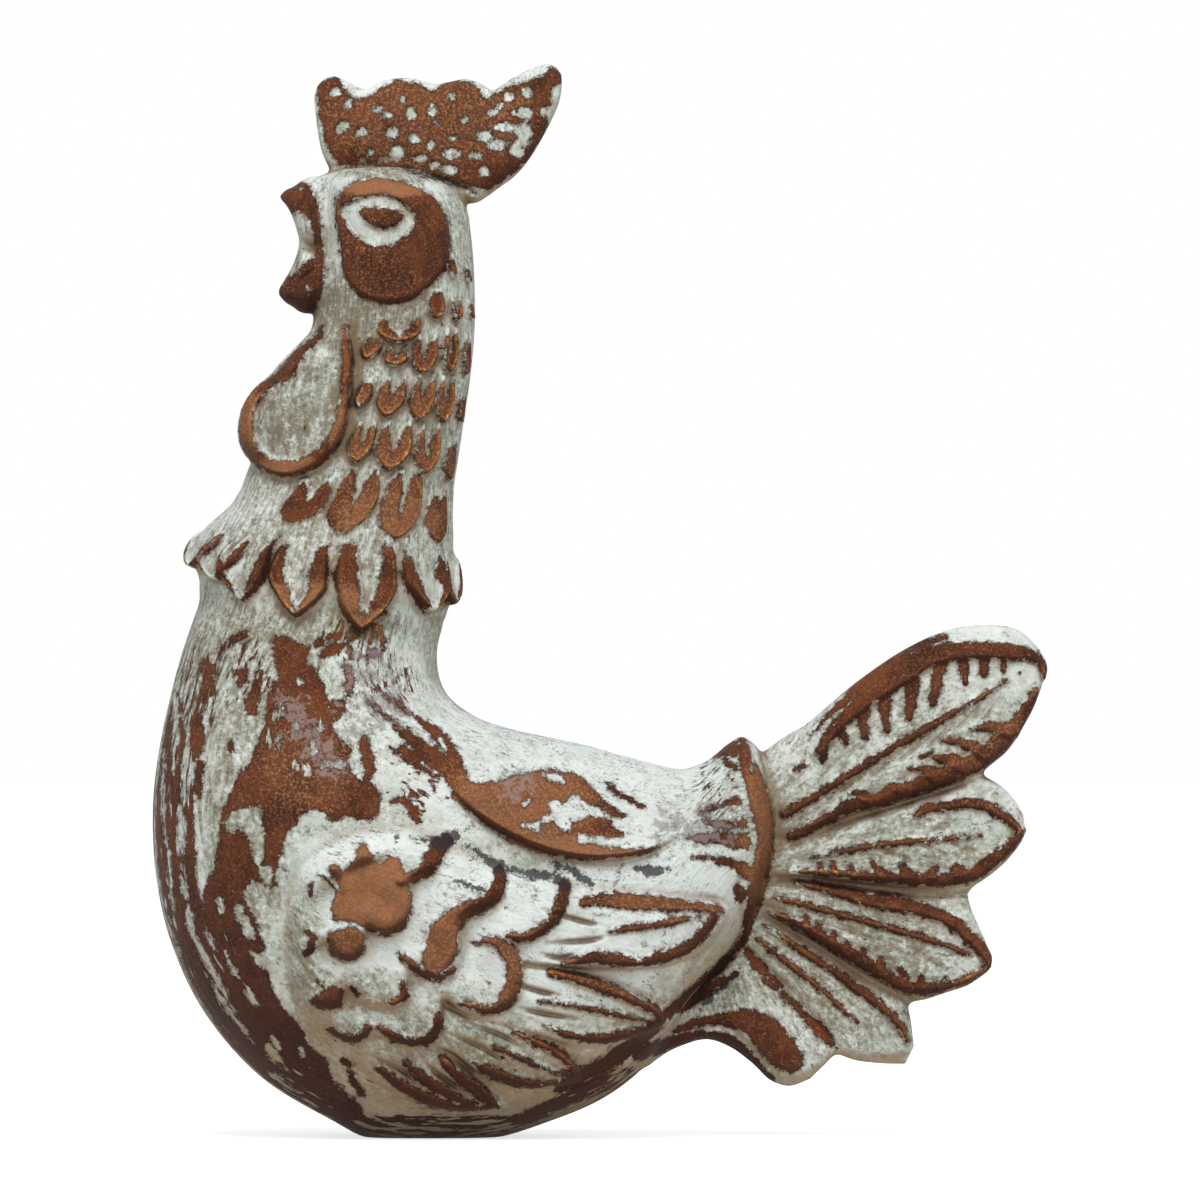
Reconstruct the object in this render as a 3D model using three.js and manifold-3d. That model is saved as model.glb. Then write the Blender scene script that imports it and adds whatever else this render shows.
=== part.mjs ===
// Ceramic rooster figurine in millimetres, +Z up.
// The rooster looks along -X, its left side faces -Y, and the origin is the centre of its flat foot.
// It is slip-cast and luted together from moulded parts: a hollow body, neck and head, with
// sprigged wings, feathers, cheeks and wattles, and solid comb, beak and tail feathers.

import * as THREE from "three";
import { mergeVertices } from "three/addons/utils/BufferGeometryUtils.js";
import Module from "manifold-3d";

const wasm = await Module();
wasm.setup();

// Driving dimensions

const WALL = 6;
const JOINT_GAP = 0.3;

const BODY_LENGTH = 124;
const BODY_HEIGHT = 105;
const BODY_WIDTH = 62.8;
const FOOT_GRIND = 1.2;
const POUR_HOLE_DIAMETER = 7;
const POUR_HOLE_OFFSET = -7.5;

const NECK_DEPTH = 50;
const NECK_HEIGHT = 62.6;
const NECK_WIDTH = 39.2;
const HEAD_DEPTH = 31.8;
const HEAD_HEIGHT = 27.8;
const HEAD_WIDTH = 27.6;

const COMB_LENGTH = 49.6;
const COMB_HEIGHT = 25.2;
const COMB_THICKNESS = 8;
const BEAK_LENGTH = 12.2;
const BEAK_HEIGHT = 27.2;
const BEAK_WIDTH = 17.6;

const CHEEK_LENGTH = 23.4;
const CHEEK_HEIGHT = 24.8;
const CHEEK_EDGE_RELIEF = 1.1;
const CHEEK_RELIEF = 1.9;
const EYE_LENGTH = 14.6;
const EYE_HEIGHT = 10;
const EYE_RELIEF = 0.9;
const PUPIL_RELIEF = 2;
const WATTLE_DEPTH = 20.8;
const WATTLE_DROP = 29.6;
const WATTLE_WIDTH = 30.4;
const WATTLE_RECESS = 1;

const HACKLES_AROUND = 16;
const RUFF_PETALS = 12;
const HACKLE_ROOT_RELIEF = 0.6;
const HACKLE_TIP_RELIEF = 1.7;

const SADDLE_RELIEF = 1.6;
const WING_LENGTH = 88.4;
const WING_HEIGHT = 58;
const WING_RELIEF = 1.1;
const WING_LAYER = 0.7;

const TAIL_LENGTH = 60.2;
const TAIL_SPREAD = 86.8;
const TAIL_THICKNESS = 12;
const TAIL_FIELD_DEPTH = 1;
const SICKLE_LENGTH = 35;
const SICKLE_HEIGHT = 26.2;
const SICKLE_THICKNESS = 10;

// Where the parts sit on each other, as shares of the part that carries them

const FOOT_SHARE = 0.4435;
const NECK_SEAT = 0.066;
const HEAD_SEAT = 0.488;
const COMB_SEAT = [0.53, 0.83];
const BEAK_SEAT = [0.15, 0.395];
const CHEEK_SEAT = [0.48, 0.43];
const EYE_SEAT = [-0.11, 0.17];
const WATTLE_SEAT = [0.585, 0.92];
const WING_SEAT = [0.566, 0.339];
const TAIL_SEAT = [0.955, 0.524];
const SICKLE_SEAT = [0.866, 0.234];

// Facets of the lofts

const ROUND_SIDES = 20;
const PLATE_SIDES = 8;
const HOLLOW_SIDES = 12;
const BODY_ROUNDNESS = 2.3;
const PLATE_ROUNDNESS = 3;
const HOLE_SIDES = 16;
const LEAST_REACH = 0.2;
const SMALL_STEP = 0.01;

// Side ribs of each loft. A rib is [back x, back z, front x, front z, half-width], where x and z
// are shares of the part's length and height and the half-width is a share of half its width.

const BODY_RIBS = [
  [0.46, 0.94, 0.05, 0.94, 0.67], [0.465, 0.88, 0.03, 0.865, 0.745],
  [0.48, 0.845, 0.01, 0.76, 0.84], [0.525, 0.81, 0, 0.645, 0.93], [0.575, 0.79, 0.005, 0.51, 0.98],
  [0.625, 0.775, 0.03, 0.375, 1], [0.665, 0.765, 0.085, 0.245, 0.995],
  [0.705, 0.75, 0.175, 0.125, 0.97], [0.74, 0.74, 0.295, 0.04, 0.93],
  [0.76, 0.735, 0.355, 0.01, 0.905], [0.775, 0.73, 0.445, 0, 0.88],
  [0.795, 0.72, 0.545, 0.01, 0.84], [0.82, 0.715, 0.625, 0.035, 0.79],
  [0.855, 0.71, 0.72, 0.09, 0.715], [0.895, 0.725, 0.8, 0.175, 0.625],
  [0.925, 0.75, 0.87, 0.27, 0.55], [0.95, 0.77, 0.925, 0.36, 0.47],
  [0.98, 0.715, 0.965, 0.435, 0.395], [1, 0.655, 0.995, 0.535, 0.255],
];

const NECK_RIBS = [
  [1.01, 0.12, 0.06, 0.12, 0.93], [1.02, 0.25, 0.12, 0.25, 0.87], [1.03, 0.38, 0.17, 0.38, 0.81],
  [1.06, 0.5, 0.23, 0.5, 0.76], [1.08, 0.63, 0.3, 0.63, 0.74], [1.1, 0.76, 0.38, 0.76, 0.71],
  [1.12, 0.89, 0.46, 0.89, 0.7],
];

const HEAD_RIBS = [
  [1, 0, 0, 0, 1], [0.99, 0.25, 0.01, 0.25, 1], [0.98, 0.5, 0.02, 0.5, 0.99],
  [0.94, 0.7, 0.01, 0.72, 0.94], [0.84, 0.87, 0.04, 0.87, 0.8], [0.68, 0.96, 0.14, 0.96, 0.58],
  [0.53, 0.99, 0.29, 0.99, 0.26],
];

const CAPE_RIBS = [
  [1.03, 0.39, 0.18, 0.39, 0.82], [1.04, 0.3, 0.07, 0.3, 0.94], [1.06, 0.2, -0.03, 0.22, 1.05],
  [1.08, 0.1, -0.04, 0.17, 1.09], [1.08, 0.06, 0, 0.1, 1.1], [1.06, -0.04, 0.01, -0.04, 1.1],
];

const COMB_RIBS = [
  [-0.34, 0.78, -0.32, 0.32, 0.4], [-0.27, 0.9, -0.27, 0.14, 0.85], [-0.21, 0.86, -0.2, 0.1, 0.95],
  [-0.14, 0.77, -0.13, 0.06, 0.95], [-0.07, 0.85, -0.06, 0.03, 0.95], [0.01, 0.89, 0.02, 0.02, 1],
  [0.08, 0.86, 0.1, -0.01, 1], [0.14, 0.79, 0.16, -0.05, 1], [0.2, 0.86, 0.23, -0.09, 1],
  [0.27, 0.88, 0.3, -0.1, 1], [0.32, 0.82, 0.36, -0.05, 1], [0.38, 0.75, 0.4, 0.02, 0.95],
  [0.44, 0.82, 0.46, 0.11, 0.95], [0.52, 0.92, 0.52, 0.25, 0.9], [0.6, 1, 0.58, 0.45, 0.8],
  [0.64, 0.94, 0.63, 0.65, 0.5], [0.65, 0.85, 0.65, 0.76, 0.2],
];

const UPPER_BEAK_RIBS = [
  [0.08, 0.57, 0.08, -0.01, 1], [-0.29, 0.54, -0.29, -0.01, 0.86], [-0.56, 0.5, -0.57, 0.02, 0.73],
  [-0.74, 0.47, -0.7, 0.18, 0.59], [-0.88, 0.44, -0.85, 0.31, 0.43], [-0.98, 0.4, -0.97, 0.38, 0.2],
];

const LOWER_BEAK_RIBS = [
  [0.08, -0.02, 0.08, -0.4, 1], [-0.29, -0.02, -0.29, -0.41, 0.86],
  [-0.56, -0.03, -0.57, -0.46, 0.73], [-0.75, -0.15, -0.75, -0.41, 0.59],
  [-0.9, -0.22, -0.9, -0.38, 0.43], [-1, -0.29, -1, -0.32, 0.2],
];

const WATTLE_RIBS = [
  [0.86, 0.1, -0.17, 0.1, 0.9], [0.86, -0.1, -0.39, -0.1, 0.93], [0.86, -0.3, -0.65, -0.3, 0.96],
  [0.86, -0.47, -0.86, -0.47, 0.99], [0.86, -0.68, -0.97, -0.68, 1.01],
  [0.86, -0.84, -0.9, -0.84, 1], [0.86, -0.95, -0.73, -0.95, 0.96],
  [0.86, -1.01, -0.55, -1.01, 0.9],
];

const FEATHER_1 = [
  [-0.025, 0.155, -0.025, 0.045, 1], [0.1, 0.26, 0.15, 0.06, 1], [0.21, 0.335, 0.32, 0.11, 0.95],
  [0.35, 0.41, 0.48, 0.15, 0.875], [0.515, 0.49, 0.665, 0.195, 0.775],
  [0.665, 0.535, 0.855, 0.26, 0.7], [0.795, 0.55, 0.925, 0.34, 0.625],
  [0.905, 0.535, 0.98, 0.41, 0.5], [0.98, 0.5, 1, 0.455, 0.2],
];

const FEATHER_2 = [
  [-0.025, 0.04, -0.025, -0.01, 1], [0.15, 0.05, 0.15, -0.025, 0.95],
  [0.315, 0.1, 0.315, -0.035, 0.9], [0.48, 0.145, 0.48, -0.045, 0.825],
  [0.65, 0.18, 0.65, -0.055, 0.75], [0.765, 0.21, 0.765, -0.035, 0.675], [0.83, 0.2, 0.845, 0, 0.6],
  [0.885, 0.165, 0.9, 0.045, 0.45], [0.925, 0.125, 0.93, 0.085, 0.2],
];

const FEATHER_3 = [
  [-0.025, -0.02, -0.025, -0.06, 1], [0.135, -0.035, 0.1, -0.1, 0.95],
  [0.28, -0.045, 0.215, -0.16, 0.9], [0.45, -0.055, 0.35, -0.22, 0.825],
  [0.6, -0.06, 0.48, -0.275, 0.75], [0.72, -0.06, 0.575, -0.305, 0.7],
  [0.755, -0.105, 0.67, -0.285, 0.6], [0.79, -0.155, 0.74, -0.27, 0.45],
  [0.815, -0.205, 0.8, -0.24, 0.2],
];

const FEATHER_4 = [
  [-0.065, -0.05, -0.09, -0.125, 0.95], [0.04, -0.09, 0.01, -0.195, 0.9],
  [0.145, -0.14, 0.1, -0.265, 0.85], [0.265, -0.205, 0.185, -0.335, 0.775],
  [0.38, -0.26, 0.255, -0.4, 0.7], [0.48, -0.3, 0.34, -0.44, 0.65],
  [0.54, -0.325, 0.435, -0.45, 0.5], [0.56, -0.4, 0.515, -0.445, 0.2],
];

const SICKLE_RIBS = [
  [-0.29, 0.08, -0.24, -0.3, 0.93], [-0.1, 0.15, -0.06, -0.2, 1], [0.07, 0.3, 0.09, -0.14, 1],
  [0.26, 0.46, 0.23, -0.21, 1], [0.41, 0.38, 0.35, -0.33, 1], [0.57, 0.13, 0.46, -0.46, 0.9],
  [0.7, -0.09, 0.57, -0.5, 0.73], [0.77, -0.25, 0.69, -0.44, 0.3],
];

// Outlines of the sprigs in side view, as shares of the part's length and height

const SADDLE_OUTLINE = [
  [0.445, 0.865], [0.445, 0.76], [0.465, 0.72], [0.48, 0.68], [0.52, 0.635], [0.575, 0.59],
  [0.64, 0.56], [0.705, 0.545], [0.76, 0.545], [0.81, 0.56], [0.865, 0.605], [0.9, 0.655],
  [0.92, 0.72], [0.94, 0.865],
];

const CHEEK_OUTLINE = [
  [-0.5, 0.33], [-0.39, 0.47], [-0.14, 0.52], [0.15, 0.48], [0.38, 0.33], [0.5, 0.1], [0.49, -0.12],
  [0.36, -0.32], [0.16, -0.44], [-0.06, -0.48], [-0.26, -0.39], [-0.38, -0.23], [-0.43, 0],
  [-0.46, 0.16],
];

const CHEEK_CROWN = [
  [-0.39, 0.27], [-0.31, 0.36], [-0.1, 0.41], [0.12, 0.38], [0.31, 0.26], [0.38, 0.07],
  [0.38, -0.09], [0.27, -0.25], [0.11, -0.36], [-0.05, -0.37], [-0.2, -0.3], [-0.3, -0.17],
  [-0.35, 0.02], [-0.38, 0.14],
];

const EYE_SOCKET = [
  [-0.51, 0.28], [-0.23, 0.48], [0.08, 0.5], [0.36, 0.32], [0.49, 0], [0.38, -0.32], [0.12, -0.5],
  [-0.18, -0.36], [-0.4, -0.1],
];

const PUPIL = [
  [-0.23, 0.24], [0.01, 0.28], [0.29, 0.22], [0.33, 0.06], [0.19, -0.08], [-0.01, -0.12],
  [-0.16, 0],
];

const WATTLE_OUTLINE = [
  [-0.17, 0.1], [-0.04, 0.1], [0.09, -0.01], [0.12, -0.24], [0.11, -0.44], [0.08, -0.61],
  [0, -0.76], [-0.14, -0.88], [-0.34, -0.97], [-0.55, -0.99], [-0.75, -0.95], [-0.93, -0.86],
  [-1.06, -0.7], [-1.1, -0.53], [-0.96, -0.34], [-0.75, -0.15], [-0.48, 0],
];

const WATTLE_FIELD = [
  [-0.03, -0.15], [0.01, -0.34], [-0.02, -0.54], [-0.12, -0.71], [-0.29, -0.83], [-0.5, -0.88],
  [-0.69, -0.84], [-0.82, -0.75], [-0.86, -0.64], [-0.81, -0.52], [-0.65, -0.4], [-0.36, -0.24],
];

const WING_OUTLINE = [
  [-0.485, 0.225], [-0.46, 0.36], [-0.37, 0.46], [-0.235, 0.49], [-0.11, 0.415], [0.035, 0.335],
  [0.215, 0.28], [0.4, 0.25], [0.505, 0.205], [0.475, 0.095], [0.425, 0.01], [0.38, -0.16],
  [0.34, -0.245], [0.23, -0.285], [0.185, -0.375], [0.105, -0.425], [0.01, -0.485], [-0.075, -0.5],
  [-0.18, -0.465], [-0.29, -0.38], [-0.395, -0.275], [-0.47, -0.14], [-0.495, 0.035],
];

const SHOULDER = [
  [-0.46, 0.035], [-0.48, 0.14], [-0.485, 0.26], [-0.45, 0.36], [-0.37, 0.445], [-0.27, 0.495],
  [-0.165, 0.495], [-0.1, 0.465], [-0.12, 0.39], [-0.165, 0.335], [-0.21, 0.3], [-0.2, 0.225],
  [-0.215, 0.16], [-0.245, 0.125], [-0.285, 0.12], [-0.305, 0.14], [-0.305, 0.07], [-0.335, 0.03],
  [-0.375, 0.04], [-0.395, 0.095], [-0.41, 0.07], [-0.435, 0.045],
];

const UPPER_COVERTS = [
  [-0.46, -0.12], [-0.485, 0.015], [-0.48, 0.225], [-0.37, 0.43], [-0.165, 0.485], [-0.01, 0.395],
  [0, 0.32], [-0.02, 0.235], [-0.09, 0.165], [-0.095, 0.07], [-0.11, -0.01], [-0.15, -0.04],
  [-0.195, -0.01], [-0.22, -0.06], [-0.225, -0.12], [-0.27, -0.15], [-0.315, -0.12],
  [-0.345, -0.07], [-0.36, -0.12], [-0.405, -0.145],
];

const LOWER_COVERTS = [
  [-0.42, -0.26], [-0.47, -0.12], [-0.485, 0.05], [-0.46, 0.295], [-0.235, 0.465], [0.035, 0.36],
  [0.14, 0.32], [0.135, 0.24], [0.11, 0.155], [0.06, 0.095], [0.01, 0.085], [0.035, 0.015],
  [0.04, -0.05], [0.02, -0.12], [-0.03, -0.16], [-0.095, -0.15], [-0.13, -0.115], [-0.14, -0.19],
  [-0.18, -0.245], [-0.235, -0.26], [-0.285, -0.225], [-0.31, -0.245], [-0.36, -0.27],
  [-0.405, -0.24],
];

const PRIMARY_1 = [
  [-0.01, 0.225], [0.125, 0.275], [0.26, 0.27], [0.4, 0.245], [0.505, 0.205], [0.475, 0.105],
  [0.42, 0.035], [0.33, -0.005], [0.215, -0.01], [0.08, 0], [-0.03, 0.05],
];

const PRIMARY_2 = [
  [-0.075, 0.035], [0.06, -0.01], [0.17, -0.03], [0.285, -0.085], [0.34, -0.13], [0.37, -0.195],
  [0.31, -0.245], [0.23, -0.275], [0.15, -0.27], [0.035, -0.225], [-0.1, -0.14],
];

const PRIMARY_3 = [
  [-0.165, -0.12], [-0.055, -0.17], [0.06, -0.225], [0.14, -0.295], [0.18, -0.385], [0.105, -0.415],
  [0.035, -0.415], [-0.055, -0.355], [-0.165, -0.24],
];

const PRIMARY_4 = [
  [-0.395, -0.19], [-0.28, -0.225], [-0.165, -0.275], [-0.075, -0.355], [0.01, -0.48],
  [-0.075, -0.495], [-0.165, -0.485], [-0.26, -0.415], [-0.35, -0.31],
];

// Rows of neck feathers from the nape down. Heights are shares of the neck's height, reach is the
// number of petal pitches from the nape to the last petal on each side. Rows are staggered.

const HACKLE_ROWS = [
  { name: "hackle_row_1", top: 1.14, tip: 1.06, reach: 1.5, around: HACKLES_AROUND },
  { name: "hackle_row_2", top: 1.03, tip: 0.88, reach: 4, around: HACKLES_AROUND },
  { name: "hackle_row_3", top: 0.93, tip: 0.76, reach: 4.5, around: HACKLES_AROUND },
  { name: "hackle_row_4", top: 0.81, tip: 0.61, reach: 4, around: HACKLES_AROUND },
  { name: "hackle_row_5", top: 0.67, tip: 0.45, reach: 4.5, around: HACKLES_AROUND },
];
const LOWEST_HACKLES = { name: "hackle_row_6", top: 0.48, tip: 0.25, first: 0.5, around: RUFF_PETALS };
const RUFF = { name: "neck_ruff", top: 0.32, back: 0.03, side: -0.03, front: 0.14, first: 0 };

// Local frames

function makeFrame(origin, length, height) {
  return { origin, length, height };
}

function at(frame, [u, v]) {
  return new THREE.Vector2(frame.origin.x + u * frame.length, frame.origin.y + v * frame.height);
}

const bodyOrigin = new THREE.Vector2(-FOOT_SHARE * BODY_LENGTH, -FOOT_GRIND);
const bodyFrame = makeFrame(bodyOrigin, BODY_LENGTH, BODY_HEIGHT);
const neckFrame = makeFrame(at(bodyFrame, [NECK_SEAT, 1]), NECK_DEPTH, NECK_HEIGHT);
const headFrame = makeFrame(at(neckFrame, [HEAD_SEAT, 1]), HEAD_DEPTH, HEAD_HEIGHT);
const combFrame = makeFrame(at(headFrame, COMB_SEAT), COMB_LENGTH, COMB_HEIGHT);
const beakFrame = makeFrame(at(headFrame, BEAK_SEAT), BEAK_LENGTH, BEAK_HEIGHT);
const cheekFrame = makeFrame(at(headFrame, CHEEK_SEAT), CHEEK_LENGTH, CHEEK_HEIGHT);
const eyeFrame = makeFrame(at(cheekFrame, EYE_SEAT), EYE_LENGTH, EYE_HEIGHT);
const wattleFrame = makeFrame(at(neckFrame, WATTLE_SEAT), WATTLE_DEPTH, WATTLE_DROP);
const wingFrame = makeFrame(at(bodyFrame, WING_SEAT), WING_LENGTH, WING_HEIGHT);
const tailFrame = makeFrame(at(bodyFrame, TAIL_SEAT), TAIL_LENGTH, TAIL_SPREAD);
const sickleFrame = makeFrame(at(bodyFrame, SICKLE_SEAT), SICKLE_LENGTH, SICKLE_HEIGHT);
const neckBase = neckFrame.origin.y;
const headBase = headFrame.origin.y;

// Solids and booleans

function solid(geometry) {
  geometry.deleteAttribute("normal");
  geometry.deleteAttribute("uv");
  const merged = mergeVertices(geometry, SMALL_STEP / 10);
  const mesh = new wasm.Mesh({
    numProp: 3,
    vertProperties: new Float32Array(merged.attributes.position.array),
    triVerts: new Uint32Array(merged.index.array),
  });
  return new wasm.Manifold(mesh);
}

function joined(solids) {
  return solids.reduce((sum, next) => sum.add(next));
}

function geometryOf(manifold) {
  const mesh = manifold.getMesh();
  const geometry = new THREE.BufferGeometry();
  geometry.setAttribute("position", new THREE.BufferAttribute(new Float32Array(mesh.vertProperties), 3));
  geometry.setIndex(new THREE.BufferAttribute(new Uint32Array(mesh.triVerts), 1));
  geometry.computeVertexNormals();
  return geometry;
}

function block(low, high) {
  const geometry = new THREE.BoxGeometry(high.x - low.x, high.y - low.y, high.z - low.z);
  const centre = low.clone().add(high).multiplyScalar(0.5);
  geometry.translate(centre.x, centre.y, centre.z);
  return solid(geometry);
}

// A block that holds everything between two heights
const REACH = 4 * (BODY_LENGTH + TAIL_LENGTH + NECK_HEIGHT);

function storey(low, high) {
  return block(new THREE.Vector3(-REACH, -REACH, low), new THREE.Vector3(REACH, REACH, high));
}

// Lofts through side ribs

function placeRibs(frame, width, table) {
  return table.map(([backX, backZ, frontX, frontZ, share]) => ({
    back: at(frame, [backX, backZ]),
    front: at(frame, [frontX, frontZ]),
    halfWidth: (share * width) / 2,
  }));
}

function signedPower(value, power) {
  return Math.sign(value) * Math.abs(value) ** power;
}

function ringCentre(rib) {
  return rib.back.clone().add(rib.front).multiplyScalar(0.5);
}

// A section point is [along, across]: shares of the rib's half length and of its half-width
function roundPoint(angle, roundness = BODY_ROUNDNESS) {
  return [signedPower(Math.cos(angle), 2 / roundness), signedPower(Math.sin(angle), 2 / roundness)];
}

function roundSection(sides, roundness) {
  return Array.from({ length: sides }, (_, i) => roundPoint((2 * Math.PI * i) / sides, roundness));
}

function ringPoint(rib, [along, across], grow = 0) {
  const centre = ringCentre(rib);
  const reach = rib.back.clone().sub(centre);
  reach.setLength(Math.max(reach.length() + grow, LEAST_REACH));
  const halfWidth = Math.max(rib.halfWidth + grow, LEAST_REACH);
  return new THREE.Vector3(centre.x + reach.x * along, halfWidth * across, centre.y + reach.y * along);
}

function loftGeometry(rings) {
  const sides = rings[0].length;
  const points = rings.flat();
  const index = [];
  for (let ring = 0; ring + 1 < rings.length; ring += 1) {
    for (let side = 0; side < sides; side += 1) {
      const a = ring * sides + side;
      const b = ring * sides + ((side + 1) % sides);
      index.push(a, b, b + sides, a, b + sides, a + sides);
    }
  }
  const closeEnd = (first, flip) => {
    const middle = new THREE.Vector3();
    for (let side = 0; side < sides; side += 1) middle.addScaledVector(points[first + side], 1 / sides);
    const apex = points.push(middle) - 1;
    for (let side = 0; side < sides; side += 1) {
      const a = first + side;
      const b = first + ((side + 1) % sides);
      index.push(...(flip ? [b, a, apex] : [a, b, apex]));
    }
  };
  const last = (rings.length - 1) * sides;
  closeEnd(0, true);
  closeEnd(last, false);
  const geometry = new THREE.BufferGeometry().setFromPoints(points);
  geometry.setIndex(facingOut(points, index));
  return geometry;
}

function facingOut(points, index) {
  let volume = 0;
  for (let i = 0; i < index.length; i += 3) {
    const [a, b, c] = [points[index[i]], points[index[i + 1]], points[index[i + 2]]];
    volume += a.dot(b.clone().cross(c));
  }
  return volume > 0 ? index : index.reverse();
}

const ROUND_SECTION = roundSection(ROUND_SIDES);
const HOLLOW_SECTION = roundSection(HOLLOW_SIDES);
const PLATE_SECTION = roundSection(PLATE_SIDES, PLATE_ROUNDNESS);

function loft(ribs, grow = 0, section = ROUND_SECTION) {
  const rings = ribs.map((rib) => section.map((place) => ringPoint(rib, place, grow)));
  return solid(loftGeometry(rings));
}

function movedRib(rib, rise) {
  const lift = new THREE.Vector2(0, rise);
  return { back: rib.back.clone().add(lift), front: rib.front.clone().add(lift), halfWidth: rib.halfWidth };
}

// Prisms that cut sprigs and grooves out of a grown form

function slab(outline, low, high) {
  const shape = new THREE.Shape(outline);
  const geometry = new THREE.ExtrudeGeometry(shape, { depth: high - low, bevelEnabled: false });
  geometry.rotateX(Math.PI / 2);
  geometry.translate(0, high, 0);
  return solid(geometry);
}

function sideSlab(outline, side) {
  const [near, far] = [1, BODY_WIDTH];
  return side < 0 ? slab(outline, -far, -near) : slab(outline, near, far);
}

function fullSlab(outline) {
  return slab(outline, -BODY_WIDTH, BODY_WIDTH);
}

function placeOutline(frame, table) {
  return table.map((share) => at(frame, share));
}

// An outline moved outward by a clearance, measured from its middle
function widened(outline, clearance) {
  const middle = new THREE.Vector2();
  outline.forEach((point) => middle.addScaledVector(point, 1 / outline.length));
  return outline.map((point) => {
    const away = point.clone().sub(middle);
    return away.setLength(away.length() + clearance).add(middle);
  });
}

// Body, neck and head share one skin, cut at the neck's base and at the throat

const neckBaseRib = {
  back: at(neckFrame, [1, 0]),
  front: at(neckFrame, [0, 0]),
  halfWidth: NECK_WIDTH / 2,
};
const throatRibs = [
  neckBaseRib,
  ...placeRibs(neckFrame, NECK_WIDTH, NECK_RIBS),
  ...placeRibs(headFrame, HEAD_WIDTH, HEAD_RIBS),
];
const bodyRibs = [neckBaseRib, ...placeRibs(bodyFrame, BODY_WIDTH, BODY_RIBS)];
const CROWN_RIBS = 3;
const RUMP_RIBS = 3;

function throatForm(grow) {
  const ribs = [movedRib(throatRibs[0], -JOINT_GAP), ...throatRibs];
  return loft(ribs, grow);
}

function bodyForm(grow) {
  const ribs = grow > 0 ? [movedRib(bodyRibs[0], grow), ...bodyRibs] : bodyRibs;
  return loft(ribs, grow);
}

function throatHollow() {
  const ribs = [movedRib(throatRibs[0], -WALL), ...throatRibs.slice(0, -CROWN_RIBS)];
  return loft(ribs, -WALL, HOLLOW_SECTION);
}

function bodyHollow() {
  const ribs = [movedRib(bodyRibs[0], WALL), ...bodyRibs.slice(0, -RUMP_RIBS)];
  return loft(ribs, -WALL, HOLLOW_SECTION);
}

function pourHole() {
  const radius = POUR_HOLE_DIAMETER / 2;
  const geometry = new THREE.CylinderGeometry(radius, radius, 4 * WALL, HOLE_SIDES);
  geometry.rotateX(Math.PI / 2);
  geometry.translate(POUR_HOLE_OFFSET, 0, 0);
  return solid(geometry);
}

const throatSkin = throatForm(0);
const throatClear = throatForm(JOINT_GAP);
const bodyClear = bodyForm(JOINT_GAP);
const inside = throatHollow();

function makeBody() {
  const shell = bodyForm(0).subtract(bodyHollow()).subtract(pourHole());
  return shell.intersect(storey(0, neckBase - JOINT_GAP));
}

function makeNeck() {
  return throatSkin.subtract(inside).intersect(storey(neckBase, headBase - JOINT_GAP));
}

function makeHead() {
  return throatSkin.subtract(inside).intersect(storey(headBase, REACH));
}

// Comb and beak

function plateForm(frame, width, table, grow = 0) {
  return loft(placeRibs(frame, width, table), grow, PLATE_SECTION);
}

function makeComb() {
  return plateForm(combFrame, COMB_THICKNESS, COMB_RIBS).subtract(throatClear);
}

function beakForm(table, grow = 0) {
  return loft(placeRibs(beakFrame, BEAK_WIDTH, table), grow, HOLLOW_SECTION);
}

function makeUpperBeak() {
  return beakForm(UPPER_BEAK_RIBS).subtract(throatClear);
}

function makeLowerBeak() {
  const upper = beakForm(UPPER_BEAK_RIBS, JOINT_GAP);
  return beakForm(LOWER_BEAK_RIBS).subtract(throatClear).subtract(upper);
}

// Cheek roundels and eyes

function layer(outline, side, relief) {
  return sideSlab(outline, side).intersect(throatForm(relief));
}

function makeCheek(side) {
  const disc = layer(placeOutline(cheekFrame, CHEEK_OUTLINE), side, CHEEK_EDGE_RELIEF);
  const crown = layer(placeOutline(cheekFrame, CHEEK_CROWN), side, CHEEK_RELIEF);
  const socket = sideSlab(placeOutline(eyeFrame, EYE_SOCKET), side);
  return disc.add(crown).subtract(socket).subtract(throatClear);
}

function makeEye(side) {
  const socket = placeOutline(eyeFrame, EYE_SOCKET);
  const white = layer(widened(socket, -JOINT_GAP), side, EYE_RELIEF);
  const pupil = layer(placeOutline(eyeFrame, PUPIL), side, PUPIL_RELIEF);
  return white.add(pupil).subtract(throatClear);
}

// Wattles: a pair that meets in front of the throat

const wattleRibs = placeRibs(wattleFrame, WATTLE_WIDTH, WATTLE_RIBS);

function wattleForm(grow) {
  return loft(wattleRibs, grow);
}

function wattlePair() {
  const outer = fullSlab(placeOutline(wattleFrame, WATTLE_OUTLINE)).intersect(wattleForm(0));
  const field = fullSlab(placeOutline(wattleFrame, WATTLE_FIELD));
  const rimmed = outer.subtract(field.subtract(wattleForm(-WATTLE_RECESS)));
  return rimmed.subtract(throatClear).subtract(beakForm(LOWER_BEAK_RIBS, JOINT_GAP));
}

function makeWattle(pair, side) {
  const near = JOINT_GAP / 2;
  const [low, high] = side < 0 ? [-REACH, -near] : [near, REACH];
  return pair.intersect(block(new THREE.Vector3(-REACH, low, -REACH), new THREE.Vector3(REACH, high, REACH)));
}

// Neck feathers: rows of petals, each row tucked under the one above

function ribAt(ribs, z) {
  const next = ribs.findIndex((rib) => ringCentre(rib).y >= z);
  const upper = ribs[Math.max(next, 1)];
  const lower = ribs[Math.max(next, 1) - 1];
  const [low, high] = [ringCentre(lower).y, ringCentre(upper).y];
  const share = (z - low) / (high - low);
  return {
    back: lower.back.clone().lerp(upper.back, share),
    front: lower.front.clone().lerp(upper.front, share),
    halfWidth: lower.halfWidth + (upper.halfWidth - lower.halfWidth) * share,
  };
}

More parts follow.
